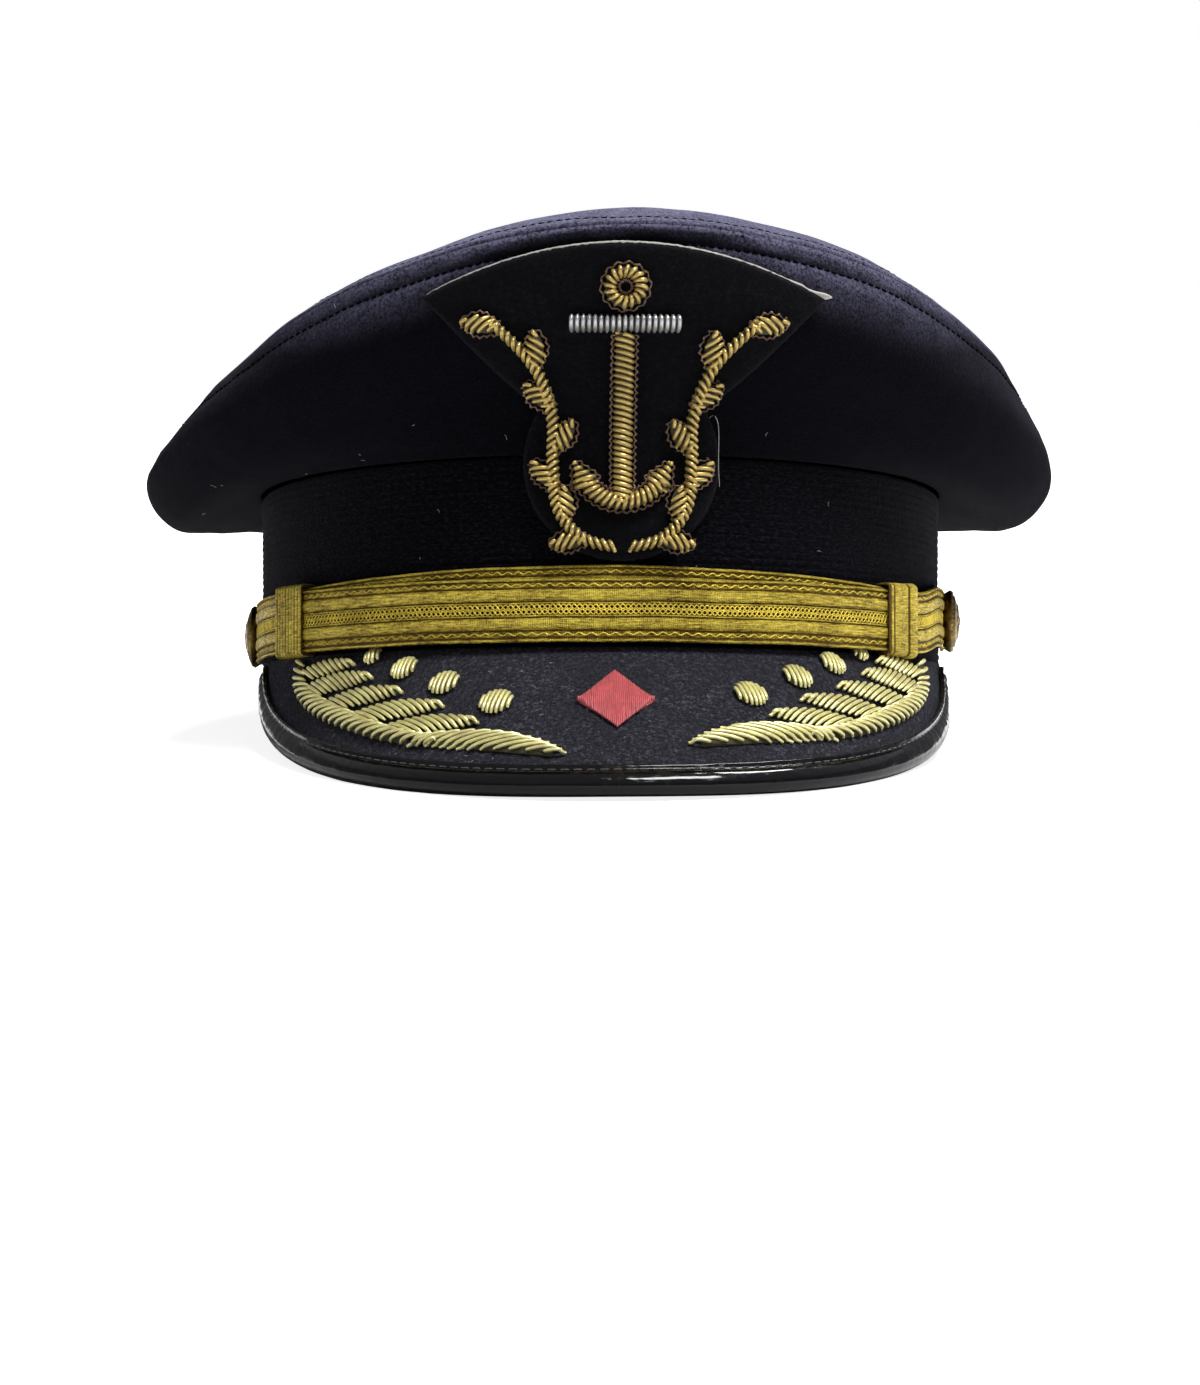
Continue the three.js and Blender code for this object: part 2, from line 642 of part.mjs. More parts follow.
function sprayGeometry({ sign }) {
  const side = { sign, shiftAcross: 0, shiftDown: 0 };
  const stem = smoothPath(WREATH_STEM, 'up', 12);
  const curve = new THREE.SplineCurve(stem.map(({ at }) => at));
  const { count, first, last, length, half, splay } = WREATH_LEAVES;
  const leaves = steps(count - 1, first, last).map((t, i) => {
    const base = curve.getPoint(t);
    const turned = i % 2 ? splay : -splay;
    const along = curve.getTangent(t).rotateAround(new THREE.Vector2(), turned);
    return leafPath(base, base.clone().addScaledVector(along, length), half, 4);
  });
  const pad = (path) => padGeometry(mirrored(path, side), onPatch, PAD.badge, [-1, 0, 1]);
  return joined([stem, ...leaves].map(pad));
}

// Finish

const FINISH = {
  wool: { color: 0x23243a, roughness: 0.95, metalness: 0 },
  mohair: { color: 0x121116, roughness: 0.9, metalness: 0 },
  felt: { color: 0x1c1c22, roughness: 0.95, metalness: 0 },
  patent: { color: 0x0d0d10, roughness: 0.15, metalness: 0 },
  lace: { color: 0xa88f38, roughness: 0.45, metalness: 0.6 },
  gilt: { color: 0x6b5524, roughness: 0.35, metalness: 0.9 },
  bullion: { color: 0xd2c184, roughness: 0.3, metalness: 0.9 },
  silver: { color: 0xc8c8cc, roughness: 0.3, metalness: 0.9 },
  satin: { color: 0xd0626a, roughness: 0.6, metalness: 0 },
};

const cap = new THREE.Group();

function place(name, geometry, finish) {
  const mesh = new THREE.Mesh(geometry, new THREE.MeshStandardMaterial(FINISH[finish]));
  mesh.name = name;
  cap.add(mesh);
  return mesh;
}

place('crown_side', crownSideGeometry(), 'wool');
place('crown_top', crownTopGeometry(), 'wool');
const bandMesh = place('cap_band', bandGeometry(), 'mohair');
place('peak', peakGeometry(), 'felt');
const bindingMesh = place('peak_binding', bindingGeometry(), 'patent');

place('chin_strap_back', strapGeometry(LAYERS.back, STRAP.rightEnd, KEEPER.left + KEEPER.span / 2), 'lace');
place('chin_strap_front', strapGeometry(LAYERS.front, KEEPER.right - KEEPER.span / 2, STRAP.leftEnd), 'lace');
place('keeper_right', keeperGeometry(KEEPER.right), 'lace');
place('keeper_left', keeperGeometry(KEEPER.left), 'lace');

place('badge_patch', patchGeometry(), 'felt');
place('anchor', anchorGeometry(), 'bullion');
place('anchor_ring', anchorRingGeometry(), 'bullion');
place('anchor_stock', anchorStockGeometry(), 'silver');

for (const branch of BRANCHES) {
  const embroider = (name, path, height) => {
    place(name, padGeometry(mirrored(path, branch), onPeak, height), 'bullion');
  };
  embroider(`stem_${branch.side}`, smoothPath(STEM, 'down', 10), PAD.stem);
  LEAVES.forEach((leaf, i) => {
    const base = new THREE.Vector2(leaf.baseAcross, leaf.baseDown);
    const tip = new THREE.Vector2(leaf.tipAcross, leaf.tipDown);
    embroider(`leaf_${branch.side}_${i + 1}`, leafPath(base, tip, leaf.half), PAD.leaf);
  });
  BERRIES.forEach(({ across, down, radius }, i) => {
    embroider(`berry_${branch.side}_${i + 1}`, discPath(across, down, radius), PAD.berry);
  });
  place(`spray_${branch.side}`, sprayGeometry(branch), 'bullion');

  const turn = BUTTON[branch.side];
  const layer = branch.side === 'left' ? LAYERS.front : LAYERS.back;
  const button = place(`button_${branch.side}`, buttonGeometry(), 'gilt');
  const seat = layerOut(layer, turn) + STRAP.thick + GAP;
  button.position.copy(around(turn, seat, layerLow(layer, turn) + STRAP.width / 2));
  const facing = around(turn, 1, 0).sub(around(turn, 0, 0));
  button.quaternion.setFromUnitVectors(new THREE.Vector3(0, 1, 0), facing);
}

const lozenge = steps(LOZENGE.steps, -1, 1).map((t) => ({
  at: new THREE.Vector2(LOZENGE.across + t * LOZENGE.halfAcross, LOZENGE.down),
  half: Math.max(LOZENGE.tipHalf, LOZENGE.halfDown * (1 - Math.abs(t))),
}));
place('red_lozenge', padGeometry(lozenge, onPeak, PAD.lozenge), 'satin');

// Rest on a table

const TABLE = { flat: 0.4, size: 600, thick: 20, passes: 12 };

// The corner of a mesh that lies lowest along up, among those on one side of the cap.
function lowestCorner(mesh, up, side = 0) {
  const { position } = mesh.geometry.attributes;
  const corners = Array.from({ length: position.count }, (_, i) => (
    new THREE.Vector3().fromBufferAttribute(position, i)
  ));
  return corners
    .filter(({ x }) => x * side >= 0)
    .reduce((best, corner) => (corner.dot(up) < best.dot(up) ? corner : best));
}

// The direction that ends up vertical when the cap lies on the rear of its band and on both
// sides of its peak.
function restingUp() {
  let up = new THREE.Vector3(0, 0, 1);
  for (let pass = 0; pass < TABLE.passes; pass += 1) {
    const rear = lowestCorner(bandMesh, up);
    const right = lowestCorner(bindingMesh, up, -1).sub(rear);
    const left = lowestCorner(bindingMesh, up, 1).sub(rear);
    up = right.cross(left).normalize();
  }
  return up;
}

// Leather and cloth are pressed flat where they lie on the table.
const up = restingUp();
const upright = new THREE.Quaternion().setFromUnitVectors(up, new THREE.Vector3(0, 0, 1));
const floor = lowestCorner(bandMesh, up).dot(up) + TABLE.flat;
const table = new THREE.BoxGeometry(TABLE.size, TABLE.size, TABLE.thick)
  .translate(0, 0, floor - TABLE.thick / 2)
  .applyQuaternion(upright.clone().invert());
const tableSolid = toSolid(bare(table));
for (const mesh of [bandMesh, bindingMesh]) {
  mesh.geometry = fromSolid(toSolid(mesh.geometry).subtract(tableSolid));
}

cap.quaternion.copy(upright);
cap.position.z = -floor;

// The origin lies on the table under the middle of the whole cap.
const part = new THREE.Group();
part.add(cap);
const middle = new THREE.Box3().setFromObject(part, true).getCenter(new THREE.Vector3());
cap.position.x = -middle.x;
cap.position.y = -middle.y;

export default part;
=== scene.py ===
"""An officer's peaked cap, dressed in wool, mohair, felt, patent leather, lace and bullion."""

import bisect
import functools
import math
import random
from collections import namedtuple

import bmesh
import bpy
from mathutils import Matrix, Vector, noise


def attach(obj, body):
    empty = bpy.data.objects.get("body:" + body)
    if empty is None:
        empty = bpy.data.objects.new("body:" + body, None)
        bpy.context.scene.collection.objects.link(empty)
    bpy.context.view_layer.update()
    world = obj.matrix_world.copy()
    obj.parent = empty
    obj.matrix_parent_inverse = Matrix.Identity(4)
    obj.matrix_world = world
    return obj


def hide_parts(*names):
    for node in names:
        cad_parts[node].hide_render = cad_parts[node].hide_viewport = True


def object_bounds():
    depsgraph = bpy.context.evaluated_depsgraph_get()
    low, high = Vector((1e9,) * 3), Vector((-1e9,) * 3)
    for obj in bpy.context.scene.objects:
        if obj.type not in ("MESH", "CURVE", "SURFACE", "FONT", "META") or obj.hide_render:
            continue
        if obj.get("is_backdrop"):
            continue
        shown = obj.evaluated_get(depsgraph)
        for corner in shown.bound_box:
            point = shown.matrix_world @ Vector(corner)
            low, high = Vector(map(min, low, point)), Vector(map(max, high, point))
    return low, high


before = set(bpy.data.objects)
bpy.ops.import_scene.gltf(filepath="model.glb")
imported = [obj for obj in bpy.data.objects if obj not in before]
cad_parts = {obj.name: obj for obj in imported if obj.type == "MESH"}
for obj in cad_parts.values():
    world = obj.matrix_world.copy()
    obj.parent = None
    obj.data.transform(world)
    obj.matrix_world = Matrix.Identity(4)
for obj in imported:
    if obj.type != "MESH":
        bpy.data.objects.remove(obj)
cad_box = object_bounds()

bl_info = {
    "name": "Officer's peaked cap",
    "version": (1, 0, 0),
    "blender": (4, 5, 0),
    "location": "View3D > Sidebar > Cap",
    "description": "Dresses the packed cap in cloth, leather, lace and bullion embroidery",
    "category": "Add Mesh",
}


def table(kind, *rows):
    """A table's rows, each a named tuple of one kind."""
    return [kind(*row) for row in rows]


# Sizes of the cap as it is worn, in millimetres, as in the part's source

MM = 0.001
GAP = 0.3
HALF_WIDTH = 86
HALF_LENGTH = 102

# How the worn cap is turned and moved to lie on its rear edge and its peak.
REST_ANGLE = math.radians(8.7986)
REST_AXIS = Vector((-0.99923, 0.03919, 0))
REST_PLACE = Vector((-0.207, 7.325, 15.190)) * MM
TO_REST = Matrix.Translation(REST_PLACE) @ Matrix.Rotation(REST_ANGLE, 4, REST_AXIS)
WORN_TO_REST = TO_REST @ Matrix.Scale(MM, 4)

BAND_WALL = 3
BAND_FRONT_UP = 45
BAND_REAR_UP = 41
BAND_WAIST = 0.3

CrownSection = namedtuple("CrownSection", "hem_out hem_up fold_out fold_up rim_out rim_up puff")
# One row for each thirty degrees round the crown, from the front past the wearer's left.
CROWN_SECTIONS = table(
    CrownSection,
    (7, 60, 20, 82, 25, 96, 7.2),
    (10, 56, 24, 71.5, 24, 90, 7.5),
    (16, 44.5, 27.5, 57, 23, 72.5, 6.5),
    (19.5, 37.2, 29, 46.5, 20.5, 57, 7),
    (16.5, 40.3, 28, 49, 20, 57, 7.7),
    (14, 40, 26.5, 49, 20, 60, 8),
    (13, 38.5, 26, 48.5, 20, 60, 8),
    (14, 40, 26.5, 49, 20, 58.5, 8),
    (17, 39.3, 28, 48.5, 20, 56, 7.5),
    (21, 36, 29.3, 46, 20, 54, 7),
    (16, 44.5, 27, 55.5, 21.5, 67, 6),
    (10, 55, 23.5, 70, 23.5, 85.8, 6.2),
)
CROWN_WALL = 2
CROWN_CENTRE = Vector((0, 6, 82))
CROWN_PUFF_REACH = 0.14
CROWN_PUFF_FADE = 1.5

PEAK_SLOPE = math.radians(39)
PEAK_LENGTH = 54.8
PEAK_LEAN = 0.02
PEAK_ACROSS_POWER = 3
PEAK_DOWN_POWER = 4.2
PEAK_THICK = 2.6
PEAK_ROOT_UP = 0.5
PEAK_UNDERCUT = 2.5
PEAK_ROOT_REACH = math.radians(86)
PEAK_CORNER_TURN = math.radians(81)
PEAK_CORNER_LENGTH = 10
PEAK_EDGE_SAMPLES = 600

# The binding's section: how far in from the peak's edge, and how far off its felt.
SectionPoint = namedtuple("SectionPoint", "inset lift")
BINDING_OUTER = table(
    SectionPoint,
    (6.5, 0.75), (6.35, 1.25), (6, 1.45), (5.6, 1.35), (5.2, 1), (4.85, 0.9), (4.4, 1.1),
    (3.6, 1.4), (2.6, 1.5), (1.6, 1.4), (0.8, 1.1), (0.1, 0.65), (-0.4, 0), (-0.65, -0.7),
    (-0.7, -1.3), (-0.65, -1.9), (-0.4, -2.6), (0.1, -3.2), (1.2, -3.7), (3, -3.8), (5.4, -3.75),
    (6.2, -3.7), (6.5, -3.4),
)
BINDING_INNER = table(
    SectionPoint,
    (6.5, -2.9), (1.2, -2.9), (0.4, -2.6), (0.2, -1.3), (0.4, 0), (1.2, 0.3), (6.5, 0.3),
)
BINDING_STITCH = SectionPoint(4.95, 0.95)

STRAP_WIDTH = 15
STRAP_THICK = 1.2
STRAP_LOW = 0.8
STRAP_STEP = 0.6
STRAP_BOW = 2.5
STRAP_LEFT_RISE = 3.5
STRAP_STAND_OFF = 1.8
STRAP_END_OFF = 0.4
STRAP_EASING = math.radians(20)
STRAP_RIGHT_END = math.radians(-94)
STRAP_LEFT_END = math.radians(85)
KEEPER_RIGHT = math.radians(-58.6)
KEEPER_LEFT = math.radians(51.3)
KEEPER_SPAN = math.radians(8)
KEEPER_THICK = 0.7
BUTTON_RADIUS = 8
BUTTON_HEIGHT = 3.4
BUTTON_BACK = 0.8
BUTTON_RIGHT = math.radians(-97)
BUTTON_LEFT = math.radians(84)

PATCH_ACROSS = 1.4
PATCH_THICK = 2.4
PATCH_HALF_SPAN = 45
PATCH_TIP_UP = 80
PATCH_TOP_UP = 91.5
PATCH_BEND = Vector((30, 63))
PATCH_NECK_UP = 55
PATCH_LOBE_UP = 42.5
PATCH_LOBE_RADIUS = 22.6
PATCH_STAND_OFF = 1.8
PATCH_DRAPE = 7

PAD_SEAT = GAP
PAD_BADGE_SEAT = 0.7
PAD_EDGE = 0.35
PAD_NARROWEST = 0.3
PAD_LEAF = 1.4
PAD_BERRY = 1.2
PAD_STEM = 1.3
PAD_BADGE = 2
PAD_LOZENGE = 1

Station = namedtuple("Station", "across down half")
# The stem, leaves and berries of one branch, laid out on the flat peak.
STEM = table(
    Station,
    (84.5, -36.5, 1.2), (84.6, -28.5, 1.6), (80.8, -18, 1.9), (74.4, -7, 2.1),
    (67.4, 3, 2.1), (59.4, 13.2, 1.9), (51.5, 21, 1.7), (44.5, 26.4, 1.3),
)
Leaf = namedtuple("Leaf", "base_across base_down tip_across tip_down half")
LEAVES = table(
    Leaf,
    (82.8, -29.4, 66.4, -19.4, 2.1),
    (80.8, -20.8, 61, -9.8, 2.6),
    (74.6, -8.4, 52.8, 1.6, 2.6),
    (66.4, 4.2, 42.2, 13.2, 2.8),
    (56.8, 15.8, 34, 23.2, 2.7),
    (49, 23.4, 13, 42.4, 3.3),
)
Berry = namedtuple("Berry", "across down radius")
BERRIES = table(
    Berry,
    (60.9, -17.9, 2.3), (52.4, -7.2, 3.3), (42.2, 4.4, 3.6), (29.7, 17, 3.9),
)
Branch = namedtuple("Branch", "side sign shift_across shift_down")
BRANCHES = [Branch("left", 1, 1.6, -2.2), Branch("right", -1, 1.6, 2.2)]
LOZENGE_ACROSS = -0.5
LOZENGE_DOWN = 22.5
LOZENGE_HALF_ACROSS = 8.6
LOZENGE_HALF_DOWN = 10.5

WREATH_STEM = table(
    Station,
    (2.2, 23, 1), (9.2, 25.2, 1.1), (14.2, 32, 1.1), (15.4, 42, 1.1),
    (15.5, 53, 1.1), (19.5, 64, 1), (28.5, 73.5, 0.8),
)
WREATH_LEAVES = 7
WREATH_FIRST = 0.14
WREATH_LAST = 0.97
WREATH_LEAF_LENGTH = 8
WREATH_LEAF_HALF = 1.8
WREATH_SPLAY = math.radians(32)

ANCHOR_RING_UP = 81.5
ANCHOR_RING_RADIUS = 3.4
ANCHOR_RING_HALF = 1.1
ANCHOR_STOCK_UP = 73.5
ANCHOR_STOCK_SPAN = 11.5
ANCHOR_STOCK_HALF = 1.6
ANCHOR_SHANK_TOP = 71
ANCHOR_SHANK_HALF = 1.8
ANCHOR_ARMS_UP = 43
ANCHOR_ARMS_RADIUS = 9.5
ANCHOR_ARMS_HALF = 1.6
ANCHOR_ARMS_SWEEP = math.radians(62)
ANCHOR_FLUKE_LENGTH = 4.5
ANCHOR_FLUKE_HALF = 2.4


# What a user of the add-on would change

def length_property(name, description, default):
    return bpy.props.FloatProperty(
        name=name, description=description, default=default, min=0, unit="LENGTH", precision=5,
    )


def colour_property(name, description, default):
    return bpy.props.FloatVectorProperty(
        name=name, description=description, default=default, min=0, max=1, size=3, subtype="COLOR",
    )


class CapCloth(bpy.types.PropertyGroup):
    """The crown, the band and the peak"""
    wool: colour_property("Wool", "Colour of the crown's wool", (0.0042, 0.0036, 0.0055))
    # Painted light: the colour the wool is painted where the light falls, on its top and just under its
    # seam.
    painted_lit: colour_property("Painted lit wool", "Colour of the wool where light is painted on it", (0.13, 0.127, 0.2))
    mohair: colour_property("Mohair", "Colour of the ribbed band", (0.0026, 0.0025, 0.0044))
    felt: colour_property("Felt", "Colour of the peak and the badge's patch", (0.016, 0.016, 0.0205))
    patent: colour_property("Patent leather", "Colour of the peak's binding", (0.003, 0.003, 0.0038))
    rib_spacing: length_property("Rib spacing", "From one rib of the band to the next", 0.0017)
    rib_depth: length_property("Rib depth", "How far a rib stands out of the band", 0.0004)
    welt_width: length_property("Welt width", "From the crown's seam to its row of stitches", 0.0032)
    stitch_length: length_property("Stitch length", "One stitch of the crown's seam", 0.0015)
    ripple: length_property("Ripple", "How far the crown's cloth swells and sinks", 0.0006)


class CapGold(bpy.types.PropertyGroup):
    """The lace, the buttons and the bullion"""
    lace: colour_property("Lace", "Colour of the chin strap's gold lace", (0.78, 0.45, 0.064))
    gilt: colour_property("Gilt", "Colour of the buttons", (0.22, 0.15, 0.045))
    bullion: colour_property("Bullion", "Colour of the peak's gold wire", (0.96, 0.84, 0.38))
    badge_gold: colour_property("Badge gold", "Colour of the badge's gold wire", (0.57, 0.42, 0.135))
    silver: colour_property("Silver", "Colour of the anchor's stock", (0.52, 0.52, 0.55))
    purl: colour_property("Purl", "Colour of the dark purl round the badge's gold", (0.16, 0.1, 0.07))
    backing: colour_property("Backing", "Colour of the sheet behind the patch", (0.42, 0.4, 0.36))
    satin: colour_property("Satin", "Colour of the red lozenge", (0.45, 0.075, 0.085))
    wire: length_property("Wire", "Thickness of the bullion on the peak", 0.00098)
    badge_wire: length_property("Badge wire", "Thickness of the bullion on the badge", 0.001)


class CapStage(bpy.types.PropertyGroup):
    """The floor, the lights and the camera"""
    floor: colour_property("Floor", "Colour of the floor and the backdrop", (0.55, 0.55, 0.56))
    distance: length_property("Distance", "From the camera to the middle of the band", 1.25)
    yaw: bpy.props.FloatProperty(
        name="Yaw", description="How far the camera stands round to the wearer's right",
        default=math.radians(2), subtype="ANGLE",
    )
    rise: bpy.props.FloatProperty(
        name="Rise", description="How far the camera's axis rises towards the worn cap",
        default=math.radians(2.8), subtype="ANGLE",
    )
    focal: bpy.props.FloatProperty(
        name="Focal length", description="Of the camera's lens, on a sensor 36 mm wide",
        default=147.2, unit="CAMERA",
    )


# Curves and surfaces of the worn cap, in millimetres

def mix(a, b, t):
    return a + (b - a) * t


def smooth(edge_low, edge_high, value):
    t = min(max((value - edge_low) / (edge_high - edge_low), 0), 1)
    return t * t * (3 - 2 * t)


def steps(count, low=0.0, high=1.0):
    return [mix(low, high, i / count) for i in range(count + 1)]


def catmull(before, start, end, after, t):
    """A point of the smooth curve from start to end."""
    leaving = (end - before) * 0.5
    arriving = (after - start) * 0.5
    return (
        (2 * start - 2 * end + leaving + arriving) * t ** 3
        + (3 * end - 3 * start - 2 * leaving - arriving) * t ** 2
        + leaving * t + start
    )


def curve_through(points):
    """A function from 0 to 1 along the smooth curve through the points."""
    padded = [points[0], *points, points[-1]]
    spans = len(points) - 1

    def at(t):
        first = min(int(t * spans), spans - 1)
        return catmull(*padded[first:first + 4], t * spans - first)

    return at


def around(turn, out, up):
    """A point round the cap: turned from the front to the wearer's left, out from the band."""
    across = math.sin(turn)
    along = -math.cos(turn)
    normal = Vector((across / HALF_WIDTH, along / HALF_LENGTH)).normalized()
    return Vector((HALF_WIDTH * across + out * normal.x, HALF_LENGTH * along + out * normal.y, up))


def band_top(turn):
    return mix(BAND_REAR_UP, BAND_FRONT_UP, (1 + math.cos(turn)) / 2)


@functools.lru_cache(maxsize=None)
def crown_section(turn):
    count = len(CROWN_SECTIONS)
    place = (turn / math.tau % 1) * count
    first = int(place)
    near = [CROWN_SECTIONS[(first + offset) % count] for offset in (-1, 0, 1, 2)]
    return CrownSection(*[catmull(*column, place - first) for column in zip(*near)])


@functools.lru_cache(maxsize=None)
def side_profile(turn):
    """The crown's side wall in one section, out and up, as a function from its root to its rim."""
    section = crown_section(turn)
    return curve_through([
        Vector((GAP, band_top(turn) + GAP)),
        Vector((section.hem_out, section.hem_up)),
        Vector((section.fold_out, section.fold_up)),
        Vector((section.rim_out, section.rim_up)),
    ])


DOWN_SLOPE = Vector((0, -math.cos(PEAK_SLOPE), -math.sin(PEAK_SLOPE)))
Root = namedtuple("Root", "turn across down")


def unrolled_root():
    """The line where the peak leaves the band, laid out on the flat board that the peak is."""
    middle = around(0, GAP, PEAK_ROOT_UP).dot(DOWN_SLOPE)
    line = []
    across = 0
    before = None
    for turn in steps(172, -PEAK_ROOT_REACH, PEAK_ROOT_REACH):
        point = around(turn, GAP, PEAK_ROOT_UP)
        down = point.dot(DOWN_SLOPE)
        level = point - DOWN_SLOPE * down
        across += (level - before).length if before else 0
        before = level
        line.append(Root(turn, across, down - middle))
    return [row._replace(across=row.across - across / 2) for row in line]


ROOT_LINE = unrolled_root()
ROOT_COLUMNS = {name: [getattr(row, name) for row in ROOT_LINE] for name in ("turn", "across")}


def root_by(column, value):
    values = ROOT_COLUMNS[column]
    after = min(max(bisect.bisect_left(values, value), 1), len(values) - 1)
    t = (value - values[after - 1]) / (values[after] - values[after - 1])
    return Root(*[mix(a, b, t) for a, b in zip(ROOT_LINE[after - 1], ROOT_LINE[after])])


def on_peak(across, down, lift):
    """A point of the bent peak, from its place on the flat board and its lift off the felt."""
    root = root_by("across", across)
    tangent = around(root.turn + 0.01, GAP, 0) - around(root.turn - 0.01, GAP, 0)
    normal = DOWN_SLOPE.cross(tangent).normalized()
    point = around(root.turn, GAP, PEAK_ROOT_UP)
    return point + DOWN_SLOPE * (down - root.down) + normal * lift


def peak_edge_point(t):
    """How far the peak reaches at t from -1 to 1 across, and its place on the flat board."""
    across = math.copysign(1 - (1 - abs(t)) ** 3, t)
    root = root_by("turn", math.asin(across * math.sin(PEAK_CORNER_TURN)))
    share = abs(across) ** PEAK_ACROSS_POWER
    reach = PEAK_LENGTH * (1 - PEAK_LEAN * across) * (1 - share) ** (1 / PEAK_DOWN_POWER)
    return reach, Vector((root.across, root.down + reach))


class Track:
    """A line of points that is walked by distance, and goes on straight past its ends."""

    def __init__(self, points):
        self.points = points
        self.reached = [0]
        for before, after in zip(points, points[1:]):
            self.reached.append(self.reached[-1] + (after - before).length)
        self.length = self.reached[-1]

    def span(self, distance):
        """The number of the point after a distance, and how far on from the last one it is."""
        after = min(max(bisect.bisect_left(self.reached, distance), 1), len(self.points) - 1)
        length = max(self.reached[after] - self.reached[after - 1], 1e-9)
        return after, (distance - self.reached[after - 1]) / length

    def at(self, distance):
        """The place at a distance along the line, and the line's direction there."""
        after, t = self.span(distance)
        start, end = self.points[after - 1], self.points[after]
        return start + (end - start) * t, (end - start).normalized()


def peak_edge(count):
    """The peak's outline in even steps, each with its direction in from the edge."""
    fine = [peak_edge_point(t) for t in steps(PEAK_EDGE_SAMPLES, -1, 1)]
    outline = Track([place for reach, place in fine if reach >= PEAK_CORNER_LENGTH])
    stations = [outline.at(distance) for distance in steps(count, 0, outline.length)]
    return [(place, Vector((way.y, -way.x))) for place, way in stations]


def front_out(turn, up):
    """How far out the crown's front lies at one height."""
    profile = side_profile(turn)
    low, high = 0, 1
    if up <= profile(0).y:
        return 0
    if up >= profile(1).y:
        return profile(1).x
    for _ in range(14):
        middle = (low + high) / 2
        if profile(middle).y < up:
            low = middle
        else:
            high = middle
    return profile(low).x


FRONT_CELL = 2.5


@functools.lru_cache(maxsize=None)
def patch_out(column, row):
    """How far out the back of the stiff badge patch lies, at a crossing of the front's cells."""
    across = column * FRONT_CELL
    up = row * FRONT_CELL
    out = 0
    for _ in range(3):
        turn = math.asin(across / (HALF_WIDTH + out))
        heights = (up - PATCH_DRAPE, up, up + PATCH_DRAPE)
        out = PATCH_STAND_OFF + sum(front_out(turn, height) for height in heights) / len(heights)
    return out


def on_front(across, up, lift):
    """A point of the back of the badge patch, lifted off it."""
    column, row = math.floor(across / FRONT_CELL), math.floor(up / FRONT_CELL)
    s, t = across / FRONT_CELL - column, up / FRONT_CELL - row
    near = mix(patch_out(column, row), patch_out(column + 1, row), s)
    far = mix(patch_out(column, row + 1), patch_out(column + 1, row + 1), s)
    out = mix(near, far, t)
    return around(math.asin(across / (HALF_WIDTH + out)), out + lift, up)


def on_badge(across, up, lift):
    return on_front(across + PATCH_ACROSS, up, PATCH_THICK + PAD_BADGE_SEAT - PAD_SEAT + lift)


# Modelling

def reached(points):
    """How far along a line of points each one lies."""
    return Track(points).reached


def skin(sections, shadow=None):
    """A closed skin over sections of equally many points, with a map in real size.

    shadow(column, row) is the shade painted at a point, from 0 to 1, most where it lies deep in a
    hollow.
    """
    columns, rows = len(sections) - 1, len(sections[0]) - 1
    bm = bmesh.new()
    bmesh.ops.create_grid(bm, x_segments=columns, y_segments=rows, size=0.5)
    cloth = bm.loops.layers.uv.new("Cloth")
    along = reached([section[rows // 4] for section in sections])
    across = reached(sections[columns // 2])
    for face in bm.faces:
        face.smooth = True
        for loop in face.loops:
            column = round((loop.vert.co.x + 0.5) * columns)
            row = round((loop.vert.co.y + 0.5) * rows)
            loop[cloth].uv = (along[column] * MM, across[row] * MM)
    painted_shades = bm.verts.layers.float.new("Groove") if shadow else None
    for vert in bm.verts:
        column = round((vert.co.x + 0.5) * columns)
        row = round((vert.co.y + 0.5) * rows)
        vert.co = sections[column][row]
        if shadow:
            vert[painted_shades] = shadow(column, row)
    bmesh.ops.remove_doubles(bm, verts=bm.verts, dist=1e-4)
    bmesh.ops.dissolve_degenerate(bm, dist=1e-5, edges=bm.edges)
    open_edges = [edge for edge in bm.edges if edge.is_boundary]
    bmesh.ops.holes_fill(bm, edges=open_edges, sides=0)
    bmesh.ops.recalc_face_normals(bm, faces=bm.faces)
    return bm


def ring(points):
    return [*points, points[0]]


def all_round(count, section, whole=math.tau):
    """Sections at even steps all the way round, the last of which is the first again."""
    return ring([section(at) for at in steps(count, 0, whole)[:-1]])


def with_parts(bm, *others):
    """Adds other shapes to one, so that they are one piece."""
    for other in others:
        mesh = bpy.data.meshes.new("part")
        other.to_mesh(mesh)
        other.free()
        bm.from_mesh(mesh)
        bpy.data.meshes.remove(mesh)
    return bm


def uneven(point, size, height):
    """A smooth random rise at a point, up to about this height."""
    return height * noise.noise(point / size)


# The unevenness of the flatter cloths: the size of each kind of swell, and how far it rises.
BAND_NAP = [(12, 0.12), (2.4, 0.14)]
PEAK_NAP = [(7, 0.12), (2.5, 0.1)]
PATCH_NAP = [(6, 0.15), (2, 0.1)]


def nap(point, swells):
    """How far a cloth rises at a point, over all its kinds of swell."""
    return sum(uneven(point, size, height) for size, height in swells)


def strands(paths, thick, roundness=1):
    """Round threads or wires: each path is a list of points with a share of the thickness."""
    curve = bpy.data.curves.new("strands", "CURVE")
    curve.dimensions = "3D"
    curve.bevel_depth = thick / 2
    curve.bevel_resolution = roundness
    curve.use_fill_caps = True
    for path in paths:
        spline = curve.splines.new("POLY")
        spline.points.add(len(path) - 1)
        for point, (place, share) in zip(spline.points, path):
            point.co = (*place, 1)
            point.radius = share
    drawn = bpy.data.objects.new("strands", curve)
    mesh = bpy.data.meshes.new_from_object(drawn)
    bm = bmesh.new()
    bm.from_mesh(mesh)
    bpy.data.meshes.remove(mesh)
    bpy.data.objects.remove(drawn)
    bpy.data.curves.remove(curve)
    for face in bm.faces:
        face.smooth = True
    return bm


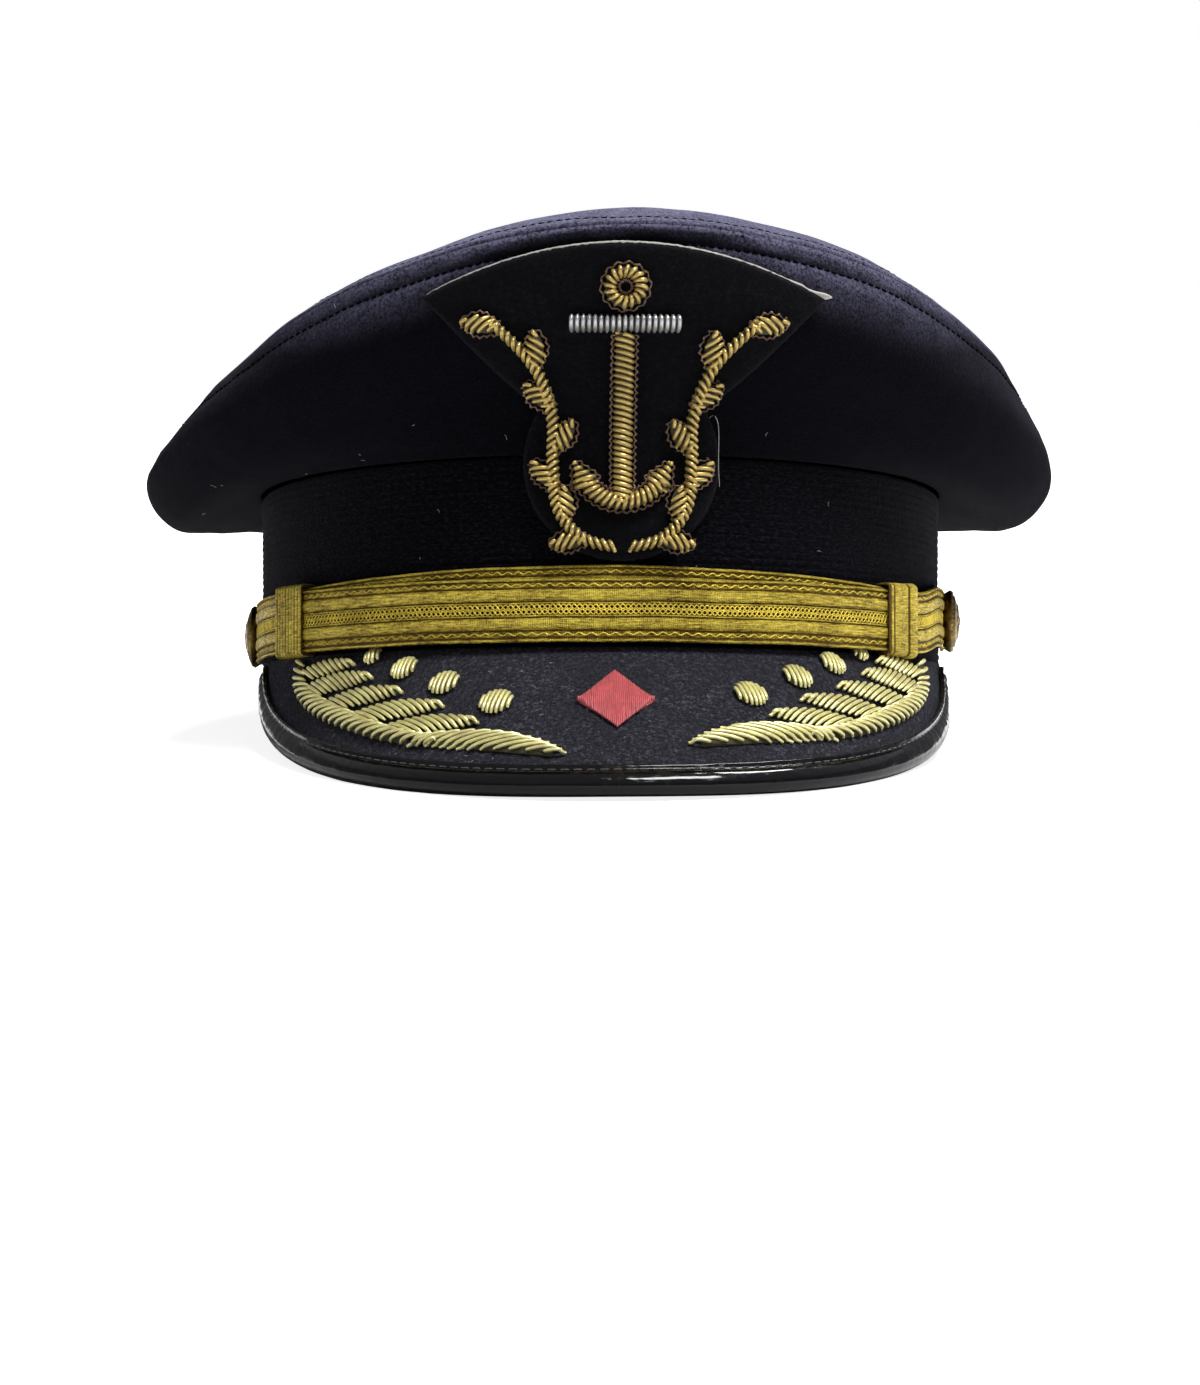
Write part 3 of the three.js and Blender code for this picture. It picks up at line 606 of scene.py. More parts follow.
def finished(name, bm, material, slot, *replaced):
    """Lays a worn shape in millimetres on the table, as a piece of the resting cap."""
    bm.transform(WORN_TO_REST)
    for vert in bm.verts:
        vert.co.z = max(vert.co.z, 0)
    mesh = bpy.data.meshes.new(name)
    bm.to_mesh(mesh)
    bm.free()
    mesh.materials.append(material)
    piece = bpy.data.objects.new(name, mesh)
    bpy.context.scene.collection.objects.link(piece)
    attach(piece, "root")
    if replaced:
        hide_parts(*replaced)
    return piece


def dress(name, material):
    """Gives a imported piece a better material."""
    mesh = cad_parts[name].data
    mesh.materials.clear()
    mesh.materials.append(material)


StitchPoint = namedtuple("StitchPoint", "along lift share")
STITCH_SHAPE = table(
    StitchPoint,
    (0, -0.5, 0.6), (0.15, 0.1, 1), (0.5, 0.3, 1), (0.85, 0.1, 1), (1, -0.5, 0.6),
)


def stitches(place, run, length, gap, thread):
    """Paths of stitches along a run: place(t, lift) is a point of it, with t from 0 to 1."""
    count = int(run / (length + gap))
    paths = []
    for start in steps(count)[:-1]:
        path = []
        for point in STITCH_SHAPE:
            t = start + point.along * length / run
            path.append((place(t, point.lift * thread), point.share))
        paths.append(path)
    return paths


# Materials

def node(material, kind, inputs=None, **settings):
    """Adds a node, with its settings, and links or sets its inputs."""
    made = material.node_tree.nodes.new(kind)
    for name, value in settings.items():
        setattr(made, name, value)
    for name, value in (inputs or {}).items():
        if isinstance(value, bpy.types.NodeSocket):
            material.node_tree.links.new(value, made.inputs[name])
        else:
            made.inputs[name].default_value = value
    return made


def coated(name, colour, **sockets):
    """A material whose shader has these plain values, and the shader itself."""
    material = bpy.data.materials.new(name)
    material.use_nodes = True
    material.diffuse_color = (*colour, 1)
    shader = material.node_tree.nodes["Principled BSDF"]
    shader.inputs["Base Color"].default_value = (*colour, 1)
    for label, value in sockets.items():
        shader.inputs[label.replace("_", " ").title().replace("Ior", "IOR")].default_value = value
    return material, shader


def surface(material, name):
    """Places in metres, the cloth's own map, or which way the surface faces."""
    return node(material, "ShaderNodeTexCoord").outputs[name]


def stretched(material, vector, scale):
    return node(material, "ShaderNodeMapping", {"Vector": vector, "Scale": scale}).outputs["Vector"]


def grain(material, vector, size, detail=3.0, roughness=0.6):
    """Noise with features of about this size in metres."""
    inputs = {"Vector": vector, "Scale": 1 / size, "Detail": detail, "Roughness": roughness}
    return node(material, "ShaderNodeTexNoise", inputs).outputs["Fac"]


def wavy_ridges(material, vector, spacing, distortion):
    """Wavy ridges across the map, this far apart in metres."""
    waves_per_unit = math.tau / 20
    inputs = {"Vector": vector, "Scale": waves_per_unit / spacing, "Distortion": distortion}
    return node(
        material, "ShaderNodeTexWave", inputs, bands_direction="X", wave_profile="SIN",
    ).outputs["Fac"]


def spread(material, value, low, high, to_low=0.0, to_high=1.0):
    inputs = {
        "Value": value, "From Min": low, "From Max": high, "To Min": to_low, "To Max": to_high,
    }
    return node(material, "ShaderNodeMapRange", inputs).outputs["Result"]


def combine(material, operation, first, second):
    made = node(material, "ShaderNodeMath", {0: first, 1: second}, operation=operation)
    return made.outputs[0]


def tint(material, shader, amount, low, high):
    """Colours the shader between low and high by an amount from 0 to 1."""
    blend = node(material, "ShaderNodeMix", {"Factor": amount}, data_type="RGBA")
    blend.inputs[6].default_value = (*low, 1)
    blend.inputs[7].default_value = (*high, 1)
    material.node_tree.links.new(blend.outputs[2], shader.inputs["Base Color"])


def roughen(material, shader, amount):
    material.node_tree.links.new(amount, shader.inputs["Roughness"])


def emboss(material, shader, height, depth, strength=1.0):
    """Raises the surface by height, from 0 to 1, times a depth in metres."""
    inputs = {"Height": height, "Distance": depth, "Strength": strength}
    bump = node(material, "ShaderNodeBump", inputs)
    material.node_tree.links.new(bump.outputs["Normal"], shader.inputs["Normal"])


def shade(colour, factor):
    return tuple(min(channel * factor, 1) for channel in colour)


def painted_light_under_seam(material, place):
    """Painted light on the side wall: its colour is lighter where it leans out least and reaches
    highest, where the light falls.
    """
    facing = node(material, "ShaderNodeSeparateXYZ", {"Vector": surface(material, "Normal")})
    height = node(material, "ShaderNodeSeparateXYZ", {"Vector": place})
    upright = combine(material, "POWER", spread(material, facing.outputs["Z"], -0.32, 0.3), 2.4)
    high = spread(material, height.outputs["Z"], 0.098, 0.128, 0.03, 1)
    return combine(material, "ADD", combine(material, "MULTIPLY", upright, high), 0.012)


def painted_light_on_top(material, place):
    """Painted light on the top panel: its colour is lighter towards its front, which stands highest."""
    height = node(material, "ShaderNodeSeparateXYZ", {"Vector": place})
    return spread(material, height.outputs["Z"], 0.07, 0.134, 0.09, 0.7)


def wool_material(name, colour, painted_lit, painted_light_share, bloom):
    """Dark wool with painted light: lighter by a share from 0 to 1 where the light falls, broken up by
    its fibres and mottle, and a bloom of dust on its nap that shows aslant.
    """
    material, shader = coated(
        name, colour, roughness=0.9, specular_ior_level=0.02,
        sheen_weight=bloom, sheen_roughness=0.25, sheen_tint=(0.66, 0.66, 0.92, 1),
    )
    place = surface(material, "Object")
    fibres = grain(material, place, 0.0007, 4.0, 0.7)
    mottle = grain(material, place, 0.006, 3.0)
    weave = combine(material, "ADD", spread(material, fibres, 0.34, 0.7, 0.1, 1.6),
                    spread(material, mottle, 0.3, 0.7, -0.15, 0.15))
    amount = combine(material, "MULTIPLY", painted_light_share(material, place), weave)
    # Painted light: the colour runs from dark towards the lit colour by the painted share of light,
    # times the fibres and mottle.
    tint(material, shader, amount, shade(colour, 0.6), painted_lit)
    emboss(material, shader, fibres, 0.0008)
    return material


def mohair_material(colour):
    material, shader = coated(
        "ribbed mohair", colour, roughness=0.9, specular_ior_level=0.05,
        sheen_weight=0.03, sheen_roughness=0.4, sheen_tint=(0.6, 0.6, 0.75, 1),
    )
    cloth = surface(material, "UV")
    pile = grain(material, stretched(material, cloth, (0.45, 1, 1)), 0.0006, 3.0, 0.75)
    tint(material, shader, spread(material, pile, 0.48, 0.68), shade(colour, 0.2), shade(colour, 3.6))
    emboss(material, shader, pile, 0.0007)
    return material


def felt_material(name, colour, specks_brighter):
    material, shader = coated(
        name, colour, roughness=0.95, specular_ior_level=0.06,
        sheen_weight=0.04, sheen_roughness=0.45, sheen_tint=(0.7, 0.72, 0.95, 1),
    )
    place = surface(material, "Object")
    fibres = grain(material, place, 0.0007, 5.0, 0.8)
    specks = grain(material, place, 0.0011, 3.0, 0.85)
    worn = grain(material, place, 0.02, 3.0, 0.5)
    light = combine(material, "MULTIPLY", spread(material, specks, 0.52, 0.66, 0, 1),
                    spread(material, worn, 0.35, 0.65, 0.25, 1))
    amount = combine(material, "ADD", spread(material, fibres, 0.4, 0.75, 0, 0.5), light)
    tint(material, shader, amount, shade(colour, 0.4), shade(colour, specks_brighter))
    emboss(material, shader, fibres, 0.0006)
    return material


def patent_material(colour):
    material, shader = coated(
        "patent leather", colour, roughness=0.2, specular_ior_level=0.05,
        coat_weight=0.65, coat_roughness=0.06, coat_ior=1.45,
    )
    place = surface(material, "Object")
    scuffs = grain(material, place, 0.003, 6.0, 0.75)
    creases = grain(material, stretched(material, place, (1, 1, 2.5)), 0.0045, 2.0, 0.4)
    roughen(material, shader, spread(material, scuffs, 0.45, 0.75, 0.14, 0.36))
    tint(material, shader, spread(material, scuffs, 0.6, 0.78), colour, shade(colour, 5))
    emboss(material, shader, creases, 0.0006, 0.8)
    return material


def painted_groove_shade(material):
    """The shade painted on the surface, most where it lies deep in a hollow, as its mesh was made."""
    return node(material, "ShaderNodeAttribute", attribute_name="Groove").outputs["Fac"]


def lace_material(colour):
    material, shader = coated("gold lace", colour, roughness=0.5, metallic=0.45, specular_ior_level=0.2)
    cloth = surface(material, "UV")
    place = surface(material, "Object")
    weft = wavy_ridges(material, cloth, 0.00045, 2.0)
    streaks = grain(material, stretched(material, cloth, (0.12, 1, 1)), 0.00045, 3.0, 0.7)
    tarnish = grain(material, place, 0.011, 4.0, 0.65)
    # Painted highlights: small bright spots lighten the gold's colour, and the same spots are glossier
    # too.
    painted_glint_and_gloss = grain(material, place, 0.0007, 3.0, 0.75)
    gold = combine(material, "ADD", spread(material, streaks, 0.35, 0.66, 0.2, 0.95),
                   spread(material, painted_glint_and_gloss, 0.42, 0.7, 0, 0.35))
    gold = combine(material, "ADD", gold, spread(material, tarnish, 0.3, 0.7, -0.2, 0.2))
    # Painted shade: the gold is darkened by the shade painted on the lace's face and, most, in the
    # hollows between its ribs.
    amount = combine(material, "SUBTRACT", gold, painted_groove_shade(material))
    tint(material, shader, amount, shade(colour, 0.16), shade(colour, 1.75))
    roughen(material, shader, spread(material, painted_glint_and_gloss, 0.35, 0.7, 0.65, 0.38))
    relief = combine(material, "ADD", weft, combine(material, "MULTIPLY", streaks, 1.5))
    emboss(material, shader, relief, 0.0003)
    return material


def gilt_material(colour):
    material, shader = coated("tarnished gilt", colour, roughness=0.35, metallic=1.0)
    place = surface(material, "Object")
    tarnish = grain(material, place, 0.002, 5.0, 0.7)
    dull = spread(material, tarnish, 0.35, 0.7)
    tint(material, shader, dull, shade(colour, 0.35), shade(colour, 1.6))
    roughen(material, shader, spread(material, tarnish, 0.3, 0.7, 0.5, 0.28))
    emboss(material, shader, tarnish, 0.0002)
    return material


def bullion_material(name, colour, metallic):
    material, shader = coated(name, colour, roughness=0.3, metallic=metallic)
    place = surface(material, "Object")
    tarnish = grain(material, place, 0.004, 3.0, 0.6)
    coils = grain(material, place, 0.00025, 1.0, 0.5)
    dull = spread(material, tarnish, 0.3, 0.7)
    tint(material, shader, dull, shade(colour, 0.72), shade(colour, 1.15))
    emboss(material, shader, coils, 0.00006)
    return material


def padding_material(colour):
    # Painted shade: the padding is made nearly black, a twentieth of the bullion's colour, so that the
    # gaps between the wires read as shade.
    material, shader = coated("shade_darkened padding", shade(colour, 0.05), roughness=0.9)
    place = surface(material, "Object")
    fibres = grain(material, place, 0.0005, 3.0)
    tint(material, shader, fibres, shade(colour, 0.02), shade(colour, 0.09))
    emboss(material, shader, fibres, 0.0002)
    return material


def thread_material(name, colour, roughness, shine):
    material, shader = coated(
        name, colour, roughness=roughness, specular_ior_level=shine,
        sheen_weight=shine, sheen_roughness=0.3,
    )
    place = surface(material, "Object")
    twist = grain(material, place, 0.0004, 2.0)
    tint(material, shader, twist, shade(colour, 0.6), shade(colour, 1.5))
    emboss(material, shader, twist, 0.0001)
    return material


def satin_material(colour):
    material, shader = coated(
        "red satin thread", colour, roughness=0.42, specular_ior_level=0.5,
        sheen_weight=0.3, sheen_roughness=0.3, sheen_tint=(1, 0.75, 0.75, 1),
    )
    place = surface(material, "Object")
    wear = grain(material, place, 0.003, 4.0, 0.7)
    tint(material, shader, spread(material, wear, 0.3, 0.7), shade(colour, 0.75), shade(colour, 1.25))
    emboss(material, shader, grain(material, place, 0.0003, 2.0), 0.0001)
    return material


# Crown

COLUMNS_AROUND = 336
RIPPLE_BROAD = 26
RIPPLE_SMALL = 9
PUCKER_SIZE = 4.5
PUCKER_RISE = 0.3
# The cloth beside the crown's seam: how far back from it, as a share of the way to the row of
# stitches, and how far it stands out in millimetres.
SeamRow = namedtuple("SeamRow", "back rise")
SEAM_ROWS = table(
    SeamRow,
    (0, -0.5), (0.07, -0.15), (0.18, 0.08), (0.4, 0.16), (0.65, 0.14), (0.86, 0.02), (0.95, -0.14),
    (1, -0.2), (1.06, -0.14), (1.2, 0.02), (1.6, 0.06), (2.1, 0),
)
# How far the top panel's edge is tucked into the side wall, so that no light shows in the seam.
SEAM_TUCK = 0.8
SEAM_THREAD = 0.46
SEAM_STITCH_GAP = 0.65


def seam_rise(share, point):
    """How far the crown's cloth stands out beside its seam, with small puckers at the stitches."""
    backs = [row.back for row in SEAM_ROWS]
    if share >= backs[-1]:
        return 0
    after = max(bisect.bisect_left(backs, share), 1)
    t = (share - backs[after - 1]) / (backs[after] - backs[after - 1])
    rise = mix(SEAM_ROWS[after - 1].rise, SEAM_ROWS[after].rise, t)
    pucker = uneven(point, PUCKER_SIZE, PUCKER_RISE) * smooth(0.3, 0.9, share)
    return rise + pucker * (1 - smooth(1.2, 2.1, share))


def side_point(turn, t, lift):
    """A point of the crown's side wall, from its root at t = 0 to its rim at t = 1."""
    profile = side_profile(turn)
    tangent = (profile(min(t + 0.01, 1)) - profile(max(t - 0.01, 0))).normalized()
    place = profile(t) + Vector((tangent.y, -tangent.x)) * lift
    return around(turn, place.x, place.y)


def side_run(turn):
    """How far the side wall runs for each unit of t, beside the seam."""
    profile = side_profile(turn)
    return (profile(1) - profile(0.98)).length / 0.02


def side_seam_point(turn, back, lift):
    """A point of the side wall this far back from the seam."""
    return side_point(turn, 1 - back / side_run(turn), lift)


def top_point(turn, k, lift):
    """A point of the top panel, from its rim at k = 0 to its middle at k = 1."""
    section = crown_section(turn)
    edge = around(turn, section.rim_out, section.rim_up + GAP)
    place = edge.lerp(CROWN_CENTRE, k)
    swell = math.sin(math.pi / 2 * min(1, k / CROWN_PUFF_REACH))
    place.z = mix(edge.z, CROWN_CENTRE.z, k * k * (3 - 2 * k))
    place.z += section.puff * swell * (1 - k) ** CROWN_PUFF_FADE
    return place + Vector((0, 0, lift))


def top_run(turn):
    """How far the top panel runs for each unit of k, beside the seam."""
    return (top_point(turn, 0.01, 0) - top_point(turn, 0, 0)).length / 0.01


def top_seam_point(turn, back, lift):
    """A point of the top panel this far in from the seam, lifted off the steep edge there."""
    k = back / top_run(turn)
    inner, outer = top_point(turn, k + 0.004, 0), top_point(turn, max(k - 0.004, 0), 0)
    inward = inner - outer
    level = Vector((inward.x, inward.y, 0)).normalized()
    slope = inward.normalized()
    normal = (Vector((0, 0, 1)) - slope * slope.z).normalized() if slope.z < 0.999 else -level
    return top_point(turn, k, 0) + normal * lift


def cloth_ripple(point, height):
    """Broad swells in the cloth with smaller ones on them."""
    return uneven(point, RIPPLE_BROAD, height) + uneven(point, RIPPLE_SMALL, height * 0.35)


def crown_side(cloth):
    welt = cloth.welt_width / MM
    ripple = cloth.ripple / MM
    backs = [row.back * welt for row in reversed(SEAM_ROWS)]

    def section(turn):
        last = 1 - backs[0] / side_run(turn)
        outer = []
        for t in steps(40, 0, last)[:-1]:
            bare = side_point(turn, t, 0)
            outer.append(side_point(turn, t, cloth_ripple(bare, ripple) * smooth(0, 0.15, t)))
        for back in backs:
            bare = side_seam_point(turn, back, 0)
            rise = cloth_ripple(bare, ripple) + seam_rise(back / welt, bare)
            outer.append(side_seam_point(turn, back, rise))
        inner = [side_point(turn, t, -CROWN_WALL) for t in steps(24, 1, 0)]
        return ring(outer + inner)

    return skin(all_round(COLUMNS_AROUND, section))


def crown_top(cloth):
    welt = cloth.welt_width / MM
    ripple = cloth.ripple / MM

    def section(turn):
        first = SEAM_ROWS[-1].back * welt / top_run(turn)
        outer = []
        for row in SEAM_ROWS[:-1]:
            bare = top_seam_point(turn, row.back * welt, 0)
            rise = cloth_ripple(bare, ripple) + seam_rise(row.back, bare)
            outer.append(top_seam_point(turn, row.back * welt, rise))
        for share in steps(46):
            k = mix(first, 1, share ** 1.4)
            bare = top_point(turn, k, 0)
            outer.append(top_point(turn, k, cloth_ripple(bare, ripple) * (1 - k ** 4)))
        inner = [top_point(turn, k ** 1.4, -CROWN_WALL) for k in steps(20, 1, 0)[:-1]]
        inner.append(side_point(turn, 1, -CROWN_WALL) + Vector((0, 0, GAP)))
        inner.append(side_seam_point(turn, SEAM_TUCK, -CROWN_WALL / 2))
        return ring(outer + inner)

    return skin(all_round(COLUMNS_AROUND, section))


def crown_stitches(cloth):
    """A row of stitches on each side of the crown's seam."""
    welt = cloth.welt_width / MM
    length = cloth.stitch_length / MM

    def on_side(t, lift):
        bare = side_seam_point(t * math.tau, welt, 0)
        rise = cloth_ripple(bare, cloth.ripple / MM) + seam_rise(1, bare)
        return side_seam_point(t * math.tau, welt, rise + lift)

    def on_top(t, lift):
        bare = top_seam_point(t * math.tau, welt, 0)
        rise = cloth_ripple(bare, cloth.ripple / MM) + seam_rise(1, bare)
        return top_seam_point(t * math.tau, welt, rise + lift)

    run = reached([side_point(turn, 1, 0) for turn in steps(200, 0, math.tau)])[-1]
    paths = []
    for place in (on_side, on_top):
        paths += stitches(place, run, length, SEAM_STITCH_GAP, SEAM_THREAD)
    return strands(paths, SEAM_THREAD)


# Band

BAND_RIB_ROWS = 6
# How the band's upper and lower edges are rounded: how far in, and over what height.
BAND_EDGE_IN = 0.8
BAND_EDGE_HEIGHT = 1.5


def cap_band(cloth):
    depth = cloth.rib_depth / MM
    ribs = round(mix(BAND_REAR_UP, BAND_FRONT_UP, 0.5) / (cloth.rib_spacing / MM))
    rows = ribs * BAND_RIB_ROWS

    def section(turn):
        top = band_top(turn)
        outer = []
        for row in range(1, rows):
            rise = row / rows
            share = row % BAND_RIB_ROWS / BAND_RIB_ROWS
            ridge = math.sqrt(1 - (2 * share - 1) ** 2)
            bare = around(turn, 0, rise * top)
            waist = BAND_WAIST * math.sin(math.pi * rise)
            rounding = BAND_EDGE_IN * (1 - smooth(0, BAND_EDGE_HEIGHT, min(rise, 1 - rise) * top))
            lift = GAP - 0.1 - depth * (1 - ridge) - waist - rounding
            lift += nap(bare, BAND_NAP)
            outer.append(around(turn, lift, rise * top))
        inner = [around(turn, -BAND_WALL, rise * top) for rise in steps(6, 0.985, 0.015)]
        return ring([around(turn, -1.5, 0), *outer, around(turn, -1.5, top), *inner])

    return skin(all_round(COLUMNS_AROUND, section))


# Peak

PEAK_COLUMNS = 240
BINDING_COLUMNS = 420


def peak():
    sections = []
    for place, inward in peak_edge(PEAK_COLUMNS):
        place = place + inward
        root = root_by("across", place.x)
        reach = place.y - root.down
        top = []
        for share in steps(36):
            bare = on_peak(place.x, root.down + share * reach, 0)
            rise = nap(bare, PEAK_NAP) * smooth(0, 0.1, share)
            top.append(on_peak(place.x, root.down + share * reach, rise))
        under = [
            on_peak(place.x, mix(place.y, root.down + PEAK_UNDERCUT, share), -PEAK_THICK)
            for share in steps(12)
        ]
        sections.append(ring([*top, *under, around(root.turn, GAP, -GAP)]))
    return skin(sections)


def peak_binding():
    """Leather folded round the peak's edge, which puckers most at its two ends."""
    sections = []
    for i, (place, inward) in enumerate(peak_edge(BINDING_COLUMNS)):
        end = 1 - smooth(0, 0.16, min(i, BINDING_COLUMNS - i) / BINDING_COLUMNS)
        stretch = Vector((place.x, place.y, 0))
        pleats = noise.noise(stretch / 2.2) * (0.07 + 0.25 * end) + noise.noise(stretch / 9) * 0.12
        section = []
        for point in BINDING_OUTER:
            flat = place + inward * point.inset
            raised = max(point.lift - 0.5, 0)
            grow = pleats * min(raised, 1) if point.lift > 0 else 0
            section.append(on_peak(flat.x, flat.y, point.lift + grow))
        for point in BINDING_INNER:
            flat = place + inward * point.inset
            section.append(on_peak(flat.x, flat.y, point.lift))
        sections.append(ring(section))
    return skin(sections)


HEM_STITCH = 2.1
HEM_STITCH_GAP = 0.9
HEM_THREAD = 0.22


def binding_stitches():
    edge = Track([place + inward * BINDING_STITCH.inset for place, inward in peak_edge(300)])

    def on_binding(t, lift):
        flat = edge.at(t * edge.length)[0]
        return on_peak(flat.x, flat.y, BINDING_STITCH.lift + lift)

    paths = stitches(on_binding, edge.length, HEM_STITCH, HEM_STITCH_GAP, HEM_THREAD)
    return strands(paths, HEM_THREAD)


# Chin strap

LacePoint = namedtuple("LacePoint", "share rise groove")
# The lace's ribs from its lower edge to its upper one: how far up as a share of its width, how
# far out in millimetres, and how much shade is painted there, most in the hollows between them.
LACE_PROFILE = table(
    LacePoint,
    (0, 0.45, 0.3), (0.015, 0.95, 0), (0.035, 1.05, 0), (0.055, 0.65, 0.6), (0.075, 0.4, 1),
    (0.095, 0.5, 0.25), (0.135, 0.5, 0.25), (0.165, 0.5, 0.25), (0.185, 0.4, 1), (0.2, 0.9, 0.2),
    (0.23, 1.15, 0), (0.29, 1.2, 0), (0.35, 1.15, 0), (0.375, 0.85, 0.2), (0.39, 0.4, 1),
    (0.405, 0.85, 0), (0.42, 0.85, 0), (0.435, 0.4, 1), (0.46, 0.35, 1), (0.51, 0.35, 1),
    (0.565, 0.35, 1), (0.59, 0.4, 1), (0.605, 0.85, 0), (0.62, 0.85, 0), (0.635, 0.4, 1),
    (0.65, 0.9, 0.2), (0.68, 1.15, 0), (0.74, 1.2, 0), (0.8, 1.15, 0), (0.825, 0.85, 0.2),
    (0.84, 0.4, 1), (0.865, 0.5, 0.25), (0.9, 0.5, 0.25), (0.93, 0.5, 0.25), (0.945, 0.4, 1),
    (0.965, 1.05, 0), (0.985, 0.95, 0), (1, 0.45, 0.3),
)
LaceWave = namedtuple("LaceWave", "middle swing period phase rise")
LACE_WAVES = table(
    LaceWave,
    (0.128, 0.02, 2.9, 0, 0.7),
    (0.474, 0.037, 2.6, 0, 0.72),
    (0.474, 0.037, 2.6, 0.5, 0.72),
    (0.553, 0.037, 2.6, 0.25, 0.72),
    (0.553, 0.037, 2.6, 0.75, 0.72),
    (0.898, 0.019, 2.7, 0.3, 0.7),
)
LACE_THREAD = 0.34
LACE_SWAY = 0.25
# The shade painted on the lace's face, and at the bottom of the hollows between its ribs.
LACE_FACE_SHADE = 0.14
LACE_HOLLOW_SHADE = 1.1
LACE_THREAD_STEP = 0.22
Layer = namedtuple("Layer", "near low keeper bow end_rise")
BACK_LAYER = Layer(STRAP_STAND_OFF, STRAP_LOW + STRAP_STEP, KEEPER_RIGHT, STRAP_BOW, 0)
FRONT_LAYER = Layer(STRAP_STAND_OFF + STRAP_THICK + GAP, STRAP_LOW, KEEPER_LEFT, 0, STRAP_LEFT_RISE)


def eased(layer, turn):
    """How far a layer has come from its keeper to where it lies on the band."""
    past = (abs(turn) - abs(layer.keeper) - KEEPER_SPAN / 2) / STRAP_EASING
    return smooth(0, 1, past) if turn * layer.keeper > 0 else 0


def layer_out(layer, turn):
    return mix(layer.near, STRAP_END_OFF, eased(layer, turn))


def layer_low(layer, turn):
    """The height of a layer's lower edge, which bows up between the keepers."""
    start = KEEPER_RIGHT + KEEPER_SPAN / 2
    end = KEEPER_LEFT - KEEPER_SPAN / 2
    bowed = max(0, 1 - ((2 * turn - start - end) / (end - start)) ** 2)
    return layer.low + layer.bow * bowed + layer.end_rise * eased(layer, turn)


def lace_groove_shade(row):
    """The shade painted on one row of the lace's section; its looped threads get none and stay the
    brightest.
    """
    return mix(LACE_FACE_SHADE, LACE_HOLLOW_SHADE, LACE_PROFILE[row].groove if row < len(LACE_PROFILE) else 1)


def lace_strap(layer, start, end):
    """A strap of ribbed lace, with its looped threads."""

    def sway(turn):
        """How far the lace wanders up as it goes round."""
        return LACE_SWAY * noise.noise(Vector((turn * 5, layer.low, 0)))

    def on_lace(turn, share, rise):
        up = layer_low(layer, turn) + share * STRAP_WIDTH + sway(turn)
        return around(turn, layer_out(layer, turn) + rise, up)

    sections = []
    for turn in steps(420, start, end):
        front = [on_lace(turn, point.share, point.rise) for point in LACE_PROFILE]
        back = [on_lace(turn, share, 0) for share in steps(4, 1, 0)]
        sections.append(ring(front + back))
    lace = skin(sections, lambda column, row: lace_groove_shade(row))
    run = abs(end - start) * math.sqrt(HALF_WIDTH * HALF_LENGTH)
    count = int(run / LACE_THREAD_STEP)
    paths = []
    for wave in LACE_WAVES:
        path = []
        for i, turn in enumerate(steps(count, start, end)):
            turns = i * run / count / wave.period + wave.phase
            swing = math.sin(math.tau * turns)
            over = 0.1 * math.sin(math.tau * turns * 0.5)
            place = on_lace(turn, wave.middle + wave.swing * swing, wave.rise + over)
            path.append((place, 1))
        paths.append(path)
    return with_parts(lace, strands(paths, LACE_THREAD, 0))


Loop = namedtuple("Loop", "near far low high")


def keeper_loop():
    return Loop(
        BACK_LAYER.near - GAP, FRONT_LAYER.near + STRAP_THICK + GAP,
        STRAP_LOW - GAP, BACK_LAYER.low + STRAP_WIDTH + GAP,
    )


def rounded_loop(loop, grow, corner):
    """The keeper's path round the strap, out and up, with rounded corners."""
    near, far = loop.near - grow, loop.far + grow
    low, high = loop.low - grow, loop.high + grow
    centres = [
        (far - corner, low + corner, -math.pi / 2), (far - corner, high - corner, 0),
        (near + corner, high - corner, math.pi / 2), (near + corner, low + corner, math.pi),
    ]
    points = []
    for out, up, first in centres:
        for angle in steps(5, first, first + math.pi / 2):
            points.append((out + corner * math.cos(angle), up + corner * math.sin(angle)))
        if first == -math.pi / 2:
            for share in steps(14)[1:-1]:
                points.append((far, mix(low + corner, high - corner, share)))
    return points


KeeperRidge = namedtuple("KeeperRidge", "start end height")
FINE_RIDGES = [KeeperRidge(i / 9 + 0.01, (i + 1) / 9 - 0.01, 0.22) for i in range(9)]
BROAD_RIDGES = table(KeeperRidge, (0.06, 0.13, 0.15), (0.17, 0.62, 0.3), (0.68, 0.97, 0.6))
KEEPER_CORNER = 0.5


def ridge_rise(ridges, share):
    """How far a keeper's lace stands out at this share of its width."""
    for ridge in ridges:
        if ridge.start < share < ridge.end:
            across = (share - ridge.start) / (ridge.end - ridge.start)
            return ridge.height * math.sin(math.pi * across) ** 0.4
    return 0


def keeper(middle, ridges):
    """A loop of lace round both layers of the strap, ridged up and down."""
    loop = keeper_loop()
    inner_path = ring(rounded_loop(loop, 0, KEEPER_CORNER))
    wider_path = ring(rounded_loop(loop, 1, KEEPER_CORNER + 1))
    shares = steps(96)
    rises = [ridge_rise(ridges, share) for share in shares]
    rows = []
    for share, rise in zip(shares, rises):
        turn = middle + (share - 0.5) * KEEPER_SPAN
        grow = KEEPER_THICK * 0.7 + rise
        rows.append([
            around(turn, mix(a[0], b[0], grow), mix(a[1], b[1], grow))
            for a, b in zip(inner_path, wider_path)
        ])
    for share in steps(4, 1, 0):
        turn = middle + (share - 0.5) * KEEPER_SPAN
        rows.append([around(turn, out, up) for out, up in inner_path])

    # Painted shade: the lace is darkened between the keeper's ridges and on its inner side.
    def shadow(column, row):
        return LACE_FACE_SHADE if column < len(rises) and rises[column] > 0 else LACE_HOLLOW_SHADE

    return skin(ring(rows), shadow)


